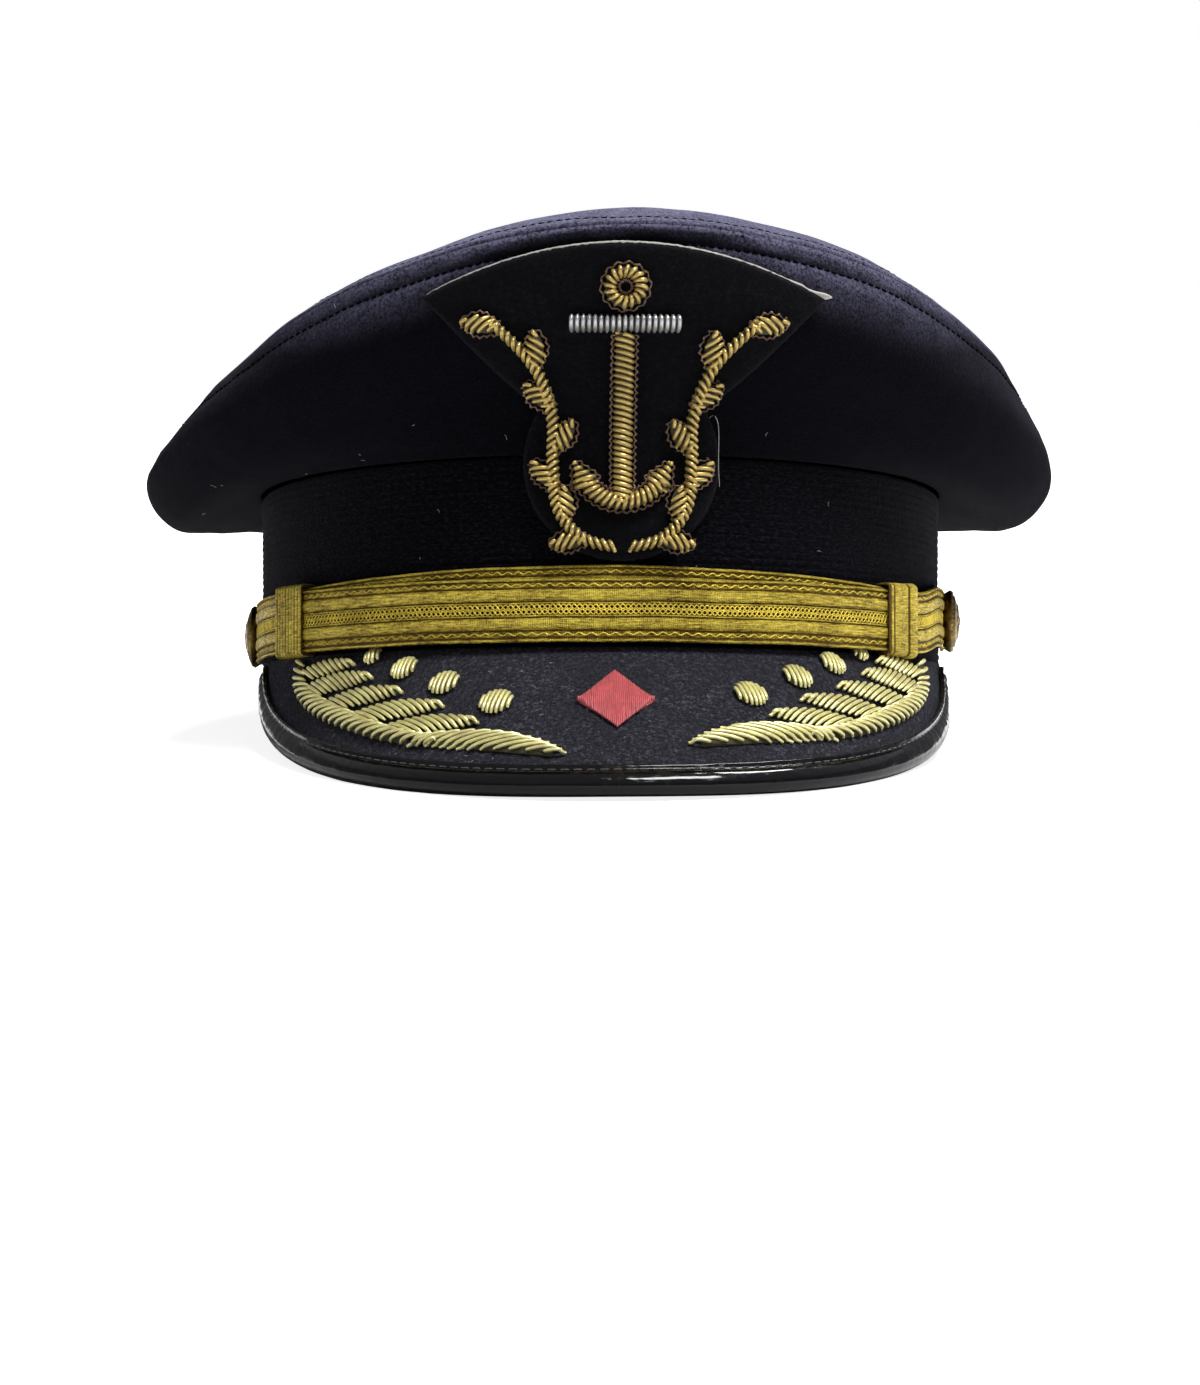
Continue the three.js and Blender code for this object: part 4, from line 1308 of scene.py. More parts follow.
BUTTON_COLUMNS = 132
BUTTON_ROPE_TURNS = 44
BUTTON_ROPE_LEAN = 18
BUTTON_ROPE_DEPTH = 0.16
BUTTON_PETALS = 8
# Shares of a button's radius: its back, the inner edge of its roped rim, and its petals' reach.
BUTTON_BACK_SHARE = 0.86
BUTTON_RIM_SHARE = 0.84
BUTTON_PETAL_SHARE = 0.62


def button_rise(angle, share):
    """How far a button's face stands out there: a roped rim, and a dome with a rosette."""
    if share > BUTTON_RIM_SHARE:
        past = share - BUTTON_RIM_SHARE
        twist = math.sin(BUTTON_ROPE_TURNS * angle + past * BUTTON_ROPE_LEAN)
        bead = math.sin(math.pi * past / (1 - BUTTON_RIM_SHARE))
        return BUTTON_HEIGHT * (0.3 + 0.2 * bead) + BUTTON_ROPE_DEPTH * twist * bead
    dome = BUTTON_HEIGHT * (0.3 + 0.62 * math.sqrt(max(1 - (share / 0.98) ** 2, 0)))
    if share < BUTTON_PETAL_SHARE:
        outline = 0.3 + 0.3 * abs(math.cos(BUTTON_PETALS * angle / 2)) ** 0.6
        vein = 1 - smooth(0, 0.12, abs(math.sin(BUTTON_PETALS * angle / 2)))
        dome += 0.3 * (1 - smooth(outline - 0.08, outline, share))
        dome -= 0.16 * vein * smooth(0.14, 0.3, share)
        dome += 0.25 * (1 - smooth(0.1, 0.15, share))
    return dome


def button(side_turn, layer):
    """A domed button, whose back reaches into the lace."""
    seat = layer_out(layer, side_turn) + STRAP_THICK + GAP
    centre = around(side_turn, seat, layer_low(layer, side_turn) + STRAP_WIDTH / 2)
    facing = (around(side_turn, 1, 0) - around(side_turn, 0, 0)).normalized()
    level = Vector((0, 0, 1)).cross(facing)
    back = centre - facing * BUTTON_BACK

    def section(angle):
        spoke = (level * math.cos(angle) + Vector((0, 0, math.sin(angle)))) * BUTTON_RADIUS
        points = [back, back + spoke * BUTTON_BACK_SHARE]
        for share in steps(40, 1, 0):
            points.append(centre + spoke * share + facing * button_rise(angle, share))
        return points

    return skin(all_round(BUTTON_COLUMNS, section))


# Badge patch

def quadratic(start, control, end, count):
    return [
        start * (1 - t) ** 2 + control * 2 * t * (1 - t) + end * t ** 2 for t in steps(count)
    ]


PATCH_TIP = Vector((PATCH_HALF_SPAN, PATCH_TIP_UP))
FLIP = Vector((-1, 1))


def patch_top(count):
    """The patch's top edge, from the wearer's right tip to the left one."""
    crest = Vector((0, 2 * PATCH_TOP_UP - PATCH_TIP_UP))
    return quadratic(PATCH_TIP * FLIP, crest, PATCH_TIP, count)


def patch_outline():
    """The patch's cut edge, from the wearer's right tip over the top and back round the lobe."""
    neck = math.asin((PATCH_NECK_UP - PATCH_LOBE_UP) / PATCH_LOBE_RADIUS)
    waist = Vector((PATCH_LOBE_RADIUS * math.cos(neck), PATCH_NECK_UP))
    left = quadratic(PATCH_TIP, PATCH_BEND, waist, 30)
    middle = Vector((0, PATCH_LOBE_UP))
    lobe = [
        middle + PATCH_LOBE_RADIUS * Vector((math.cos(angle), math.sin(angle)))
        for angle in steps(60, neck, -math.pi - neck)
    ]
    right = [place * FLIP for place in reversed(left)]
    return patch_top(60) + left[1:] + lobe[1:] + right[1:]


PATCH_HUB = Vector((0, 66))
PATCH_ROUNDING = 1.7
PATCH_COLUMNS = 480
PATCH_FRAYED = 0.35
# The patch's thickness at its cut edge, as a share of the rest.
PATCH_EDGE_SHARE = 0.45
PATCH_BACK_LIFT = 0.2


def badge_patch():
    """The padded felt patch, thinner and a little frayed at its cut edge."""
    outline = Track(patch_outline())

    def section(distance):
        spoke = outline.at(distance)[0] - PATCH_HUB
        reach = spoke.length
        frayed = reach + PATCH_FRAYED * noise.noise(Vector((distance / 0.9, 0, 0)))
        front, back = [], []
        for share in steps(30):
            place = PATCH_HUB + spoke * (share * frayed / reach)
            depth = (1 - share) * reach
            body = math.sqrt(1 - (1 - min(depth / PATCH_ROUNDING, 1)) ** 2)
            lift = PATCH_THICK * mix(PATCH_EDGE_SHARE, 1, body)
            bare = on_front(place.x + PATCH_ACROSS, place.y, lift)
            lift += nap(bare, PATCH_NAP) * min(share * 3, 1)
            front.append(on_front(place.x + PATCH_ACROSS, place.y, lift))
        for share in steps(8, 1, 0):
            place = PATCH_HUB + spoke * (share * frayed / reach)
            back.append(on_front(place.x + PATCH_ACROSS, place.y, PATCH_BACK_LIFT))
        return front + back

    return skin(all_round(PATCH_COLUMNS, section, outline.length))


BACKING_LIFT = 0.1
BACKING_THICK = 0.4
BACKING_INSET = 3
BACKING_PROUD = 0.5
BACKING_TORN = 0.15
BACKING_FRAYED = 0.1
# The sheet curls and waves near the wearer's left end of its edge.
CURL_START = 0.9
CURL_FULL = 0.97
CURL_WAVES = 14
CURL_PROUD = 0.9
CURL_LIFT = 1.6


def patch_backing():
    """The pale sheet behind the patch, which shows along its top edge and curls at one end."""
    edge = patch_top(240)
    sections = []
    for i, place in enumerate(edge):
        t = i / (len(edge) - 1)
        outward = (place - PATCH_HUB).normalized()
        wave = 0.55 + 0.45 * math.sin(math.tau * (t - CURL_START) * CURL_WAVES)
        curl = smooth(CURL_START, CURL_FULL, t) * wave
        torn = BACKING_TORN * noise.noise(Vector((t * 60, 3, 0)))
        torn += BACKING_FRAYED * noise.noise(Vector((t * 300, 5, 0)))
        proud = (BACKING_PROUD + torn + CURL_PROUD * curl) * smooth(0, 0.03, t)
        front, back = [], []
        for share in steps(8):
            flat = place + outward * mix(-BACKING_INSET, proud, share)
            bent = BACKING_LIFT + CURL_LIFT * curl * smooth(0.4, 1, share)
            front.append(on_front(flat.x + PATCH_ACROSS, flat.y, bent + BACKING_THICK))
            back.append(on_front(flat.x + PATCH_ACROSS, flat.y, bent))
        sections.append(ring(front + back[::-1]))
    return skin(sections)


# A thread that has come loose at the patch's edge, laid out as the badge is.
LOOSE_THREAD = [
    Vector((20.6, 53.6)), Vector((21.2, 52.4)), Vector((21.5, 50)), Vector((21.6, 46)),
    Vector((21.7, 42)), Vector((22.1, 37.5)),
]


def loose_thread():
    line = curve_through(LOOSE_THREAD)
    path = []
    for t in steps(40):
        flat = line(t)
        path.append((on_badge(flat.x, flat.y, 0.1 + 0.5 * math.sin(math.pi * t)), 1))
    return strands([path], 0.13)


Fibre = namedtuple("Fibre", "place count seed longest")
LINT_THREAD = 0.08


def lint_on_side(u, v):
    return side_point(mix(-1.5, 1.5, u), mix(0.05, 0.95, v), 0.3)


def lint_on_top(u, v):
    return top_point(mix(-1.8, 1.8, u), mix(0.03, 0.5, v), 0.3)


def lint_on_band(u, v):
    return around(mix(-1.1, 1.1, u), 0.45, mix(18, 40, v))


def lint_on_peak(u, v):
    narrowing = (1 - (2 * u - 1) ** 4) ** 0.5
    return on_peak(mix(-72, 72, u), mix(4, 44, v) * narrowing, 0.25)


def lint():
    """Short pale fibres caught on the crown, the band and the peak."""
    kinds = table(
        Fibre,
        (lint_on_side, 16, 11, 1.8),
        (lint_on_top, 14, 12, 2),
        (lint_on_band, 6, 13, 1.4),
        (lint_on_peak, 34, 14, 1.2),
    )
    paths = []
    for kind in kinds:
        chance = random.Random(kind.seed)
        for _ in range(kind.count):
            u, v = chance.uniform(0.03, 0.97), chance.uniform(0.03, 0.97)
            here = kind.place(u, v)
            scale_u = (kind.place(u + 0.001, v) - here).length * 1000
            scale_v = (kind.place(u, v + 0.001) - here).length * 1000
            length = chance.uniform(0.3, 1) * kind.longest
            way = chance.uniform(0, math.tau)
            bend = chance.uniform(-1.2, 1.2)
            path = []
            for share in steps(5, -0.5, 0.5):
                angle = way + bend * share
                step_u = length * share * math.cos(angle) / scale_u
                step_v = length * share * math.sin(angle) / scale_v
                path.append((kind.place(u + step_u, v + step_v), 1))
            paths.append(path)
    return strands(paths, LINT_THREAD, 0)


# Embroidery

LEAF_BOW = 0.05


class Pad:
    """A low padded ridge along a path: its places, and its half width at each."""

    def __init__(self, places, halves):
        self.track = Track(places)
        self.halves = halves
        self.length = self.track.length

    def half(self, distance):
        after, t = self.track.span(distance)
        return mix(self.halves[after - 1], self.halves[after], min(max(t, 0), 1))

    def place(self, distance, side):
        """A place beside the path, this far from it to its left."""
        centre, along = self.track.at(distance)
        return centre + Vector((-along.y, along.x)) * side

    def rise(self, distance, side, height):
        """How high the padding is there."""
        share = abs(side) / self.half(distance)
        if share >= 1 or not 0 <= distance <= self.length:
            return 0
        return PAD_EDGE + (height - PAD_EDGE) * math.sqrt(1 - share ** 2)


LeafLook = namedtuple("LeafLook", "base_share widest spacing slant start end")
# How a leaf looks: its width at the base as a share of the widest, where along it is widest, how far
# apart its wires lie, how much they slant, and where along it the first and the last one lie.
PEAK_LEAF = LeafLook(0.95, 0.35, 1.15, -1.6, 0.08, 0.94)
LAST_LEAF = LeafLook(0.45, 0.5, 1.5, 2, 0.02, 0.9)
WREATH_LEAF = LeafLook(0.4, 0.5, 1.27, -0.8, 0.1, 0.92)


def leaf_pad(base, tip, half, look):
    """A pointed, slightly bent leaf."""
    sideways = Vector((-(tip - base).y, (tip - base).x))
    middle = base.lerp(tip, 0.5) + sideways * LEAF_BOW
    places = quadratic(base, middle, tip, 24)
    halves = []
    for t in steps(24):
        narrowing = max(t - look.widest, 0) / (1 - look.widest)
        share = mix(look.base_share, 1, smooth(0, look.widest, t)) * (1 - narrowing ** 1.8)
        halves.append(max(PAD_NARROWEST, half * share))
    return Pad(places, halves)


def smooth_pad(rows):
    line = curve_through([Vector(row[:2]) for row in rows])
    width = curve_through([row.half for row in rows])
    return Pad([line(t) for t in steps(60)], [width(t) for t in steps(60)])


def flipped(pad, sign, shift=Vector((0, 0))):
    """The same pad on the other side of the middle line; its left side turns into its right."""
    mirror = Vector((sign, 1))
    return Pad([place * mirror + shift for place in pad.track.points], pad.halves)


WIRE_SIDES = steps(10, -1, 1)
# Near a pad's tip its wires still run on along it this far, in millimetres.
LEAST_RUN = 1.1
# How far the wires reach across a pad, as a share of its half width, and how thin their ends are.
WIRE_REACH = 1.12
DISC_REACH = 1.08
WIRE_END = 0.65
# How far a wire's middle lies off the padding and off the cloth beside it, in thicknesses.
WIRE_OVER_PAD = 0.3
WIRE_OVER_CLOTH = 0.45


def wire_share(side):
    """The share of its thickness that a wire has at side, from -1 to 1 along it."""
    return mix(1, WIRE_END, smooth(0.75, 1, abs(side)))


def laid(pad, onto, height, wire, spacing, slant, sign=1, start=0.0, end=1.0):
    """Wires laid side by side over a pad; each moves slant times its half width along it."""
    pitch = spacing * math.hypot(1, slant / WIRE_REACH)
    count = max(round(pad.length * (end - start) / pitch), 1)
    paths = []
    for middle in steps(count, start * pad.length, end * pad.length):
        half = max(pad.half(middle), 0.5 * wire)
        path = []
        for side in WIRE_SIDES:
            beside = side * WIRE_REACH * half
            distance = middle + side * slant * max(half, LEAST_RUN)
            flat = pad.place(distance, beside * sign)
            rise = pad.rise(distance, beside, height)
            rise = max(rise + WIRE_OVER_PAD * wire, WIRE_OVER_CLOTH * wire)
            path.append((onto(flat.x, flat.y, PAD_SEAT + rise), wire_share(side)))
        paths.append(path)
    return paths


def laid_disc(centre, radius, onto, height, wire, pitch, angle):
    """Wires laid side by side over a round pad."""
    way = Vector((math.cos(angle), math.sin(angle)))
    beside = Vector((-way.y, way.x))
    count = max(round(2 * radius / pitch) - 1, 1)
    paths = []
    for offset in steps(count, 0.5 * wire - radius, radius - 0.5 * wire):
        half = math.sqrt(max(radius ** 2 - offset ** 2, 0)) * DISC_REACH
        path = []
        for side in WIRE_SIDES:
            flat = centre + beside * offset + way * side * half
            share = min((flat - centre).length / radius, 1)
            rise = PAD_EDGE + (height - PAD_EDGE) * math.sqrt(1 - share ** 2)
            rise = rise + WIRE_OVER_PAD * wire if share < 1 else WIRE_OVER_CLOTH * wire
            path.append((onto(flat.x, flat.y, PAD_SEAT + rise), wire_share(side)))
        paths.append(path)
    return paths


def wires_of(look):
    """The arguments of laid for the wires of a leaf."""
    return {"spacing": look.spacing, "slant": look.slant, "start": look.start, "end": look.end}


# The stem's wires lie furthest apart, because they run almost along it, and over the leaves' ends.
STEM_SPACING = 1.8
STEM_SLANT = 1.75
STEM_PROUD = 0.3
BERRY_SPACING = 1.15
BERRY_ANGLE = math.radians(71)


def branch_wires(branch, wire):
    """The bullion of one branch on the peak."""
    shift = Vector((branch.shift_across, branch.shift_down))
    place = functools.partial(flipped, sign=branch.sign, shift=shift)
    over = functools.partial(laid, onto=on_peak, wire=wire, sign=branch.sign)
    paths = []
    for leaf in LEAVES:
        base = Vector((leaf.base_across, leaf.base_down))
        tip = Vector((leaf.tip_across, leaf.tip_down))
        look = LAST_LEAF if leaf is LEAVES[-1] else PEAK_LEAF
        pad = place(leaf_pad(base, tip, leaf.half, look))
        paths += over(pad, height=PAD_LEAF, **wires_of(look))
    stem = place(smooth_pad(STEM))
    paths += over(stem, height=PAD_STEM + STEM_PROUD, spacing=STEM_SPACING, slant=STEM_SLANT)
    angle = BERRY_ANGLE if branch.sign > 0 else math.pi - BERRY_ANGLE
    for berry in BERRIES:
        centre = Vector((berry.across * branch.sign, berry.down)) + shift
        paths += laid_disc(centre, berry.radius, on_peak, PAD_BERRY, wire, BERRY_SPACING, angle)
    return paths


def straight_pad(places, half):
    return Pad(places, [half] * len(places))


def arc(centre, radius, start, end, count):
    return [
        centre + Vector((radius * math.sin(angle), -radius * math.cos(angle)))
        for angle in steps(count, start, end)
    ]


def fluke_pad(side):
    root = Vector((
        side * ANCHOR_ARMS_RADIUS * math.sin(ANCHOR_ARMS_SWEEP),
        ANCHOR_ARMS_UP - ANCHOR_ARMS_RADIUS * math.cos(ANCHOR_ARMS_SWEEP),
    ))
    along = Vector((side * math.cos(ANCHOR_ARMS_SWEEP), math.sin(ANCHOR_ARMS_SWEEP)))
    shares = steps(8, -0.25, 1)
    places = [root + along * share * ANCHOR_FLUKE_LENGTH for share in shares]
    return Pad(places, [max(PAD_NARROWEST, ANCHOR_FLUKE_HALF * (1 - max(0, t))) for t in shares])


def anchor_pads():
    centre = Vector((0, ANCHOR_ARMS_UP))
    shank_end = ANCHOR_ARMS_UP - ANCHOR_ARMS_RADIUS
    shank = [Vector((0, up)) for up in steps(20, ANCHOR_SHANK_TOP, shank_end)]
    arms = arc(centre, ANCHOR_ARMS_RADIUS, -ANCHOR_ARMS_SWEEP, ANCHOR_ARMS_SWEEP, 30)
    ring_centre = Vector((0, ANCHOR_RING_UP))
    rope = arc(ring_centre, ANCHOR_RING_RADIUS, 0, math.tau, 30)
    return {
        "shank": straight_pad(shank, ANCHOR_SHANK_HALF),
        "arms": straight_pad(arms, ANCHOR_ARMS_HALF),
        "fluke right": fluke_pad(-1),
        "fluke left": fluke_pad(1),
        "ring": straight_pad(rope, ANCHOR_RING_HALF),
    }


# The wires of a wreath's leaf reach a little past its padding.
WREATH_WIRE_HALF = WREATH_LEAF_HALF * 1.15


def spray_pads(sign):
    """The pads of one side of the wreath: its stem, and its leaves."""
    line = curve_through([Vector(row[:2]) for row in WREATH_STEM])
    pads = []
    for i, t in enumerate(steps(WREATH_LEAVES - 1, WREATH_FIRST, WREATH_LAST)):
        base = line(t)
        along = (line(min(t + 0.01, 1)) - line(t - 0.01)).normalized()
        turned = WREATH_SPLAY if i % 2 else -WREATH_SPLAY
        way = Matrix.Rotation(turned, 2) @ along
        tip = base + way * WREATH_LEAF_LENGTH
        pads.append(flipped(leaf_pad(base, tip, WREATH_WIRE_HALF, WREATH_LEAF), sign))
    return flipped(smooth_pad(WREATH_STEM), sign), pads


BADGE_SPACING = 1.27
ANCHOR_SLANT = 0.35
FLUKE_SLANT = 0.2
WREATH_STEM_SLANT = 0.9


def badge_wires(wire):
    """The gold wire of the anchor and the wreath."""
    over = functools.partial(laid, onto=on_badge, height=PAD_BADGE, wire=wire)
    paths = []
    for name, pad in anchor_pads().items():
        slant = FLUKE_SLANT if "fluke" in name else ANCHOR_SLANT
        paths += over(pad, spacing=BADGE_SPACING, slant=slant)
    for sign in (1, -1):
        stem, leaves = spray_pads(sign)
        paths += over(stem, spacing=BADGE_SPACING, slant=WREATH_STEM_SLANT, sign=sign)
        for pad in leaves:
            paths += over(pad, sign=sign, **wires_of(WREATH_LEAF))
    return paths


def stock_wires(wire):
    """The silver wire of the anchor's stock."""
    span = steps(20, -ANCHOR_STOCK_SPAN, ANCHOR_STOCK_SPAN)
    pad = straight_pad([Vector((across, ANCHOR_STOCK_UP)) for across in span], ANCHOR_STOCK_HALF)
    return laid(pad, on_badge, PAD_BADGE, wire, BADGE_SPACING, 0)


PURL_THREAD = 0.58
PURL_STEP = 0.38
PURL_SWING = 0.3
PURL_OFF_ANCHOR = 0.85
PURL_OFF_LEAF = 0.7
# The purl's kinks: one bead in four is thicker than the rest, as shares of its thread.
PURL_BEAD = 1.25
PURL_NECK = 0.75


def outline_path(pad, off):
    """A kinked cord laid round a pad, this far off it and off the badge's cloth."""
    count = max(int(pad.length / PURL_STEP), 4)
    path = []
    for side, shares in ((1, steps(count)), (-1, steps(count, 1, 0))):
        for i, t in enumerate(shares):
            swing = PURL_SWING * math.sin(math.pi * i / 2)
            beside = pad.half(t * pad.length) + off + swing
            path.append(pad.place(t * pad.length, side * beside))
    return [
        (on_badge(flat.x, flat.y, off), PURL_BEAD if i % 4 == 1 else PURL_NECK)
        for i, flat in enumerate(ring(path))
    ]


def badge_purl():
    """Dark purl couched round the anchor and along the wreath."""
    paths = [outline_path(pad, PURL_OFF_ANCHOR) for pad in anchor_pads().values()]
    for sign in (1, -1):
        paths += [outline_path(pad, PURL_OFF_LEAF) for pad in spray_pads(sign)[1]]
    return paths


LOZENGE_THREADS = 38
LOZENGE_THREAD = 0.55
LOZENGE_WANDER = 0.15


def lozenge_threads():
    """Satin threads laid side by side over the lozenge, a little uneven."""
    paths = []
    for across in steps(LOZENGE_THREADS, -LOZENGE_HALF_ACROSS, LOZENGE_HALF_ACROSS):
        half = max(LOZENGE_HALF_DOWN * (1 - abs(across) / LOZENGE_HALF_ACROSS), 0.5)
        wander = LOZENGE_WANDER * noise.noise(Vector((across * 3, 7, 0)))
        path = []
        for side in steps(12, -1, 1):
            down = LOZENGE_DOWN + side * half * 1.04
            rise = PAD_EDGE + (PAD_LOZENGE - PAD_EDGE) * math.sqrt(max(1 - side ** 2, 0)) + 0.1
            path.append((on_peak(LOZENGE_ACROSS + across + wander * side, down, PAD_SEAT + rise), 1))
        paths.append(path)
    return paths


# Stage

SWEEP_FLAT = 5
SWEEP_RADIUS = 4
FLOOR_GLOW = 0.85
ROOM_GLOW = 0.3


def worn_turn(yaw, vector):
    """Turns a direction round the worn cap's axis, towards the wearer's right."""
    return Matrix.Rotation(-yaw, 3, "Z") @ vector


AreaLight = namedtuple("AreaLight", "name place size power")
LIGHTS = table(
    AreaLight,
    ("overhead softbox", Vector((0.2, 0.6, 1.15)), (0.95, 0.42), 44),
    ("front softbox", Vector((0.42, -0.5, 1.2)), (0.6, 0.35), 22),
)
LIGHT_TARGET = Vector((0, 0, 0.07))
# How far the camera stands below the worn band's lower edge, in metres.
CAMERA_DROP = 0.067


def add_light(area):
    light = bpy.data.lights.new(area.name, "AREA")
    light.shape = "RECTANGLE"
    light.size, light.size_y = area.size
    light.energy = area.power
    lamp = bpy.data.objects.new(area.name, light)
    lamp.location = area.place
    lamp.rotation_euler = (LIGHT_TARGET - area.place).to_track_quat("-Z", "Y").to_euler()
    bpy.context.scene.collection.objects.link(lamp)


def pale_room():
    """A room that is pale and softly lit all round."""
    world = bpy.data.worlds.new("studio")
    world.use_nodes = True
    glow = world.node_tree.nodes["Background"]
    glow.inputs["Color"].default_value = (1, 1, 1, 1)
    glow.inputs["Strength"].default_value = ROOM_GLOW
    return world


def floor_material(colour):
    """A white that glows a little where it is seen, and lights nothing."""
    material, shader = coated("white floor", colour, roughness=0.9, specular_ior_level=0.1)
    place = surface(material, "Object")
    tint(material, shader, grain(material, place, 0.05), shade(colour, 0.99), colour)
    shader.inputs["Emission Color"].default_value = (1, 1, 1, 1)
    seen = node(material, "ShaderNodeLightPath").outputs["Is Camera Ray"]
    glow = combine(material, "MULTIPLY", seen, FLOOR_GLOW)
    material.node_tree.links.new(glow, shader.inputs["Emission Strength"])
    return material


def white_sweep(colour):
    """The floor, which sweeps up to a wall all round."""
    bm = bmesh.new()
    floor = [bm.verts.new((0, 0, 0)), bm.verts.new((SWEEP_FLAT, 0, 0))]
    floor += [
        bm.verts.new((
            SWEEP_FLAT + SWEEP_RADIUS * math.sin(angle), 0, SWEEP_RADIUS * (1 - math.cos(angle)),
        ))
        for angle in steps(12, 0, math.pi / 2)[1:]
    ]
    edges = [bm.edges.new(pair) for pair in zip(floor, floor[1:])]
    bmesh.ops.spin(
        bm, geom=floor + edges, angle=math.tau, steps=64, axis=(0, 0, 1), cent=(0, 0, 0),
        use_merge=True,
    )
    bmesh.ops.remove_doubles(bm, verts=bm.verts, dist=1e-4)
    bmesh.ops.recalc_face_normals(bm, faces=bm.faces)
    bmesh.ops.reverse_faces(bm, faces=bm.faces)
    for face in bm.faces:
        face.smooth = True
    mesh = bpy.data.meshes.new("floor")
    bm.to_mesh(mesh)
    bm.free()
    mesh.materials.append(floor_material(colour))
    return bpy.data.objects.new("floor", mesh)


# Operators

class CapPiece:
    """What the cap's operators share."""
    bl_options = {"REGISTER", "UNDO"}


class BuildCrown(CapPiece, bpy.types.Operator):
    """Sews the crown's side wall and top panel together"""
    bl_idname = "cap.crown"
    bl_label = "Crown"

    def execute(self, context):
        cloth = context.scene.cap_cloth
        # Both wools carry painted light: the side wall is lighter just under the seam, and the top
        # panel towards its front.
        wool = wool_material("navy wool", cloth.wool, cloth.painted_lit, painted_light_under_seam, 0.025)
        finished("crown_side_cloth", crown_side(cloth), wool, "wool", "crown_side")
        wool = wool_material("dusty wool", cloth.wool, cloth.painted_lit, painted_light_on_top, 0.24)
        finished("crown_top_cloth", crown_top(cloth), wool, "wool", "crown_top")
        # Painted shade: the thread is a quarter as bright as the wool, so that the stitch rows read as
        # dark lines of shade.
        thread = thread_material("navy thread", shade(cloth.wool, 0.25), 0.8, 0)
        finished("crown_stitches", crown_stitches(cloth), thread, "wool")
        pale = thread_material("pale lint", (0.4, 0.4, 0.44), 0.8, 0.3)
        finished("caught_lint", lint(), pale, "wool")
        return {"FINISHED"}


class BuildBand(CapPiece, bpy.types.Operator):
    """Wraps the ribbed mohair band"""
    bl_idname = "cap.band"
    bl_label = "Band"

    def execute(self, context):
        cloth = context.scene.cap_cloth
        finished("mohair_band", cap_band(cloth), mohair_material(cloth.mohair), "mohair", "cap_band")
        return {"FINISHED"}


class BuildPeak(CapPiece, bpy.types.Operator):
    """Covers the peak in felt and binds its edge in patent leather"""
    bl_idname = "cap.peak"
    bl_label = "Peak"

    def execute(self, context):
        cloth = context.scene.cap_cloth
        felt = felt_material("peak felt", cloth.felt, 5.5)
        finished("felt_peak", peak(), felt, "felt", "peak")
        patent = patent_material(cloth.patent)
        finished("patent_binding", peak_binding(), patent, "patent", "peak_binding")
        thread = thread_material("waxed thread", (0.12, 0.12, 0.13), 0.55, 0.35)
        finished("binding_stitches", binding_stitches(), thread, "patent")
        return {"FINISHED"}


class BuildStrap(CapPiece, bpy.types.Operator):
    """Weaves the two layers of the chin strap and its keepers"""
    bl_idname = "cap.strap"
    bl_label = "Chin strap"

    def execute(self, context):
        lace = lace_material(context.scene.cap_gold.lace)
        past = KEEPER_SPAN / 2
        back = lace_strap(BACK_LAYER, STRAP_RIGHT_END, KEEPER_LEFT + past)
        finished("lace_strap_back", back, lace, "lace", "chin_strap_back")
        front = lace_strap(FRONT_LAYER, KEEPER_RIGHT - past, STRAP_LEFT_END)
        finished("lace_strap_front", front, lace, "lace", "chin_strap_front")
        finished("lace_keeper_right", keeper(KEEPER_RIGHT, FINE_RIDGES), lace, "lace", "keeper_right")
        finished("lace_keeper_left", keeper(KEEPER_LEFT, BROAD_RIDGES), lace, "lace", "keeper_left")
        return {"FINISHED"}


class BuildButtons(CapPiece, bpy.types.Operator):
    """Strikes the two side buttons"""
    bl_idname = "cap.buttons"
    bl_label = "Buttons"

    def execute(self, context):
        gilt = gilt_material(context.scene.cap_gold.gilt)
        finished("gilt_button_right", button(BUTTON_RIGHT, BACK_LAYER), gilt, "gilt", "button_right")
        finished("gilt_button_left", button(BUTTON_LEFT, FRONT_LAYER), gilt, "gilt", "button_left")
        return {"FINISHED"}


class BuildBadge(CapPiece, bpy.types.Operator):
    """Embroiders the anchor and wreath on the felt patch"""
    bl_idname = "cap.badge"
    bl_label = "Badge"

    def execute(self, context):
        gold = context.scene.cap_gold
        # Painted shade: the patch's felt is the peak's felt darkened to 0.16 of it, the tone of the
        # crown's front in shade.
        felt = felt_material("patch felt", shade(context.scene.cap_cloth.felt, 0.16), 3)
        finished("felt_patch", badge_patch(), felt, "felt", "badge_patch")
        wire = gold.badge_wire / MM
        bullion = bullion_material("badge bullion", gold.badge_gold, 0.55)
        finished("badge_bullion", strands(badge_wires(wire), wire), bullion, "bullion")
        purl = bullion_material("dark purl", gold.purl, 0.6)
        finished("dark_purl", strands(badge_purl(), PURL_THREAD, 0), purl, "bullion")
        sheet = thread_material("aged backing", gold.backing, 0.8, 0.3)
        finished("patch_backing", patch_backing(), sheet, "felt")
        finished("loose_thread", loose_thread(), sheet, "felt")
        silver = bullion_material("silver bullion", gold.silver, 0.7)
        finished("stock_bullion", strands(stock_wires(wire), wire), silver, "silver")
        padding = padding_material(gold.bullion)
        for name in ("anchor", "anchor_ring", "anchor_stock", "spray_left", "spray_right"):
            dress(name, padding)
        return {"FINISHED"}


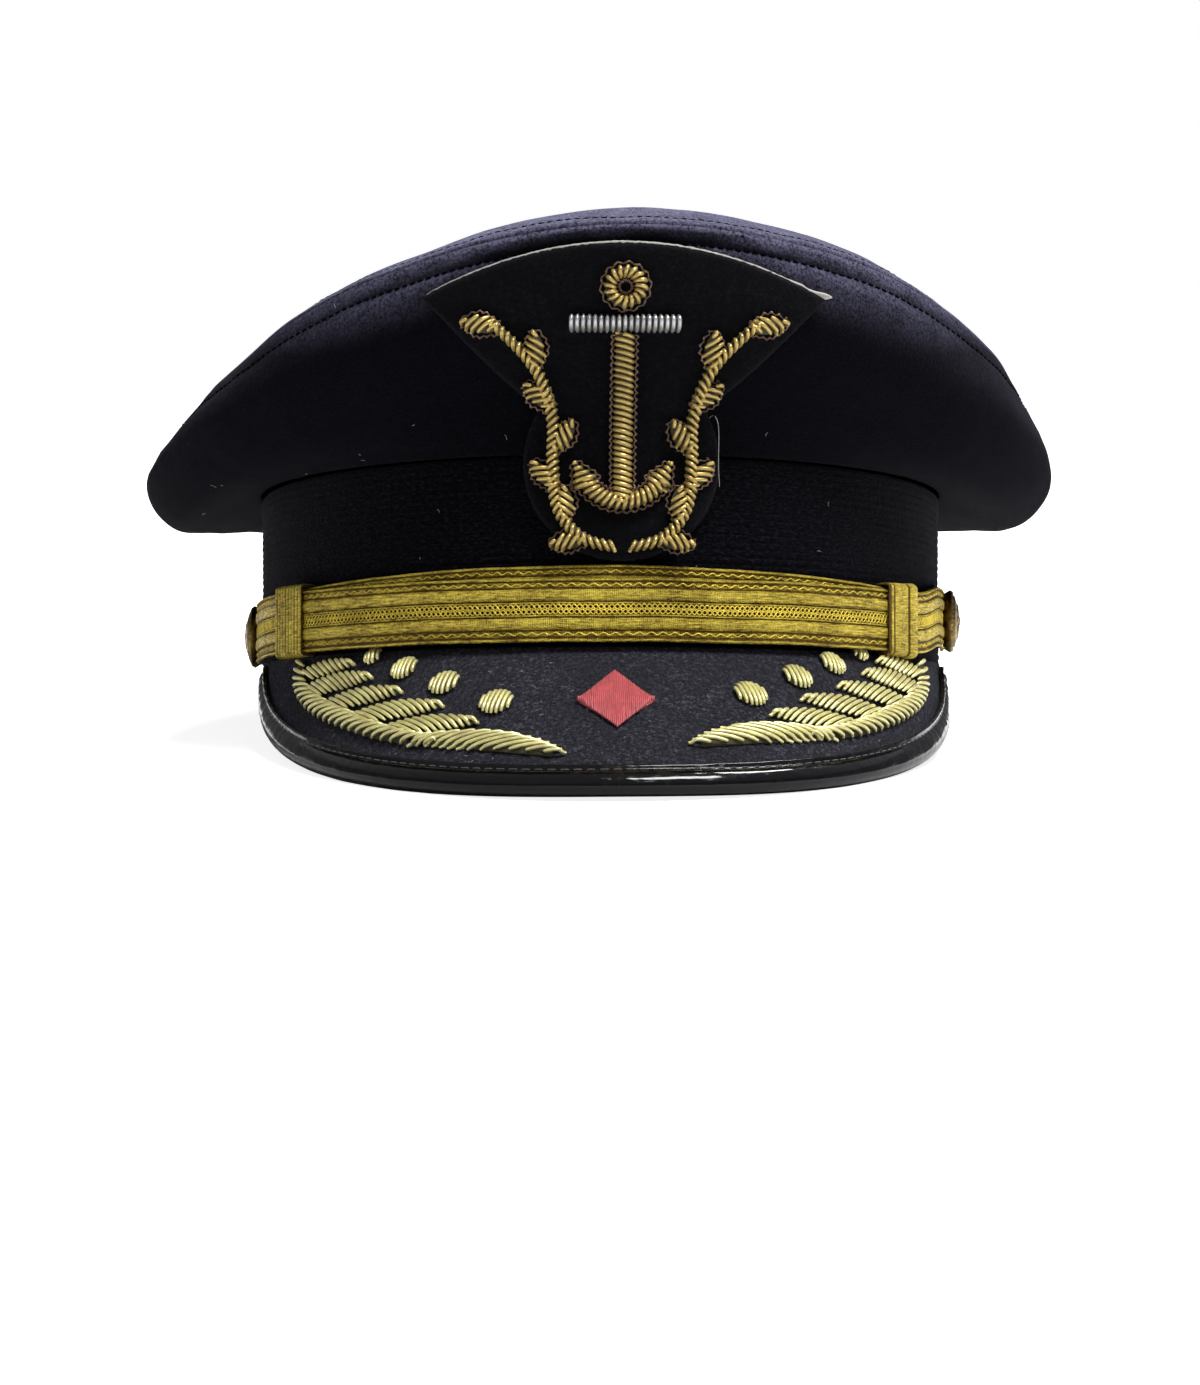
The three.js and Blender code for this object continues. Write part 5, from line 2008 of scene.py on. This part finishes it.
class BuildBranches(CapPiece, bpy.types.Operator):
    """Lays the bullion branches and the red lozenge on the peak"""
    bl_idname = "cap.branches"
    bl_label = "Branches"

    def execute(self, context):
        gold = context.scene.cap_gold
        wire = gold.wire / MM
        bullion = bullion_material("peak bullion", gold.bullion, 0.5)
        padding = padding_material(gold.bullion)
        for branch in BRANCHES:
            shape = strands(branch_wires(branch, wire), wire)
            finished(f"bullion_branch_{branch.side}", shape, bullion, "bullion")
            dress(f"stem_{branch.side}", padding)
            for i in range(len(LEAVES)):
                dress(f"leaf_{branch.side}_{i + 1}", padding)
            for i in range(len(BERRIES)):
                dress(f"berry_{branch.side}_{i + 1}", padding)
        satin = satin_material(gold.satin)
        finished("lozenge_satin", strands(lozenge_threads(), LOZENGE_THREAD), satin, "satin")
        dress("red_lozenge", satin)
        return {"FINISHED"}


class BuildStage(CapPiece, bpy.types.Operator):
    """Sets up the floor, the soft lights and the camera"""
    bl_idname = "cap.stage"
    bl_label = "Stage"

    def execute(self, context):
        settings = context.scene.cap_stage
        floor = white_sweep(settings.floor)
        context.scene.collection.objects.link(floor)
        floor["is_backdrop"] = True

        for area in LIGHTS:
            add_light(area)
        context.scene.world = pale_room()
        context.scene.view_settings.view_transform = "Standard"

        camera = bpy.data.objects.new("camera", bpy.data.cameras.new("camera"))
        camera.data.sensor_fit = "HORIZONTAL"
        camera.data.sensor_width = 36
        camera.data.lens = settings.focal
        camera.data.clip_start = 0.05
        place = worn_turn(settings.yaw, Vector((0, -settings.distance, -CAMERA_DROP)))
        ahead = worn_turn(settings.yaw, Vector((0, math.cos(settings.rise), math.sin(settings.rise))))
        above = worn_turn(settings.yaw, Vector((0, -math.sin(settings.rise), math.cos(settings.rise))))
        aside = ahead.cross(above)
        turned = Matrix((aside, above, -ahead)).transposed().to_4x4()
        camera.matrix_world = TO_REST @ Matrix.Translation(place) @ turned
        context.scene.collection.objects.link(camera)
        context.scene.camera = camera
        return {"FINISHED"}


PIECES = [
    BuildCrown, BuildBand, BuildPeak, BuildStrap, BuildButtons, BuildBadge, BuildBranches, BuildStage,
]


class CapPanel(bpy.types.Panel):
    """Lists the cap's pieces in the order they are made"""
    bl_idname = "VIEW3D_PT_cap"
    bl_label = "Peaked cap"
    bl_space_type = "VIEW_3D"
    bl_region_type = "UI"
    bl_category = "Cap"

    def draw(self, context):
        for settings in (context.scene.cap_cloth, context.scene.cap_gold, context.scene.cap_stage):
            box = self.layout.box()
            for name in settings.__annotations__:
                box.prop(settings, name)
        for piece in PIECES:
            self.layout.operator(piece.bl_idname)


SETTINGS = {"cap_cloth": CapCloth, "cap_gold": CapGold, "cap_stage": CapStage}


def register():
    for kind in (*SETTINGS.values(), *PIECES, CapPanel):
        bpy.utils.register_class(kind)
    for name, kind in SETTINGS.items():
        setattr(bpy.types.Scene, name, bpy.props.PointerProperty(type=kind))


def unregister():
    for name in SETTINGS:
        delattr(bpy.types.Scene, name)
    for kind in reversed((*SETTINGS.values(), *PIECES, CapPanel)):
        bpy.utils.unregister_class(kind)


def main():
    register()
    bpy.ops.cap.crown()
    bpy.ops.cap.band()
    bpy.ops.cap.peak()
    bpy.ops.cap.strap()
    bpy.ops.cap.buttons()
    bpy.ops.cap.badge()
    bpy.ops.cap.branches()
    bpy.ops.cap.stage()
    boxes = {"cad": cad_box, "visual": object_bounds()}
    {name: [list(corner) for corner in box] for name, box in boxes.items()}


if __name__ == "__main__":
    main()
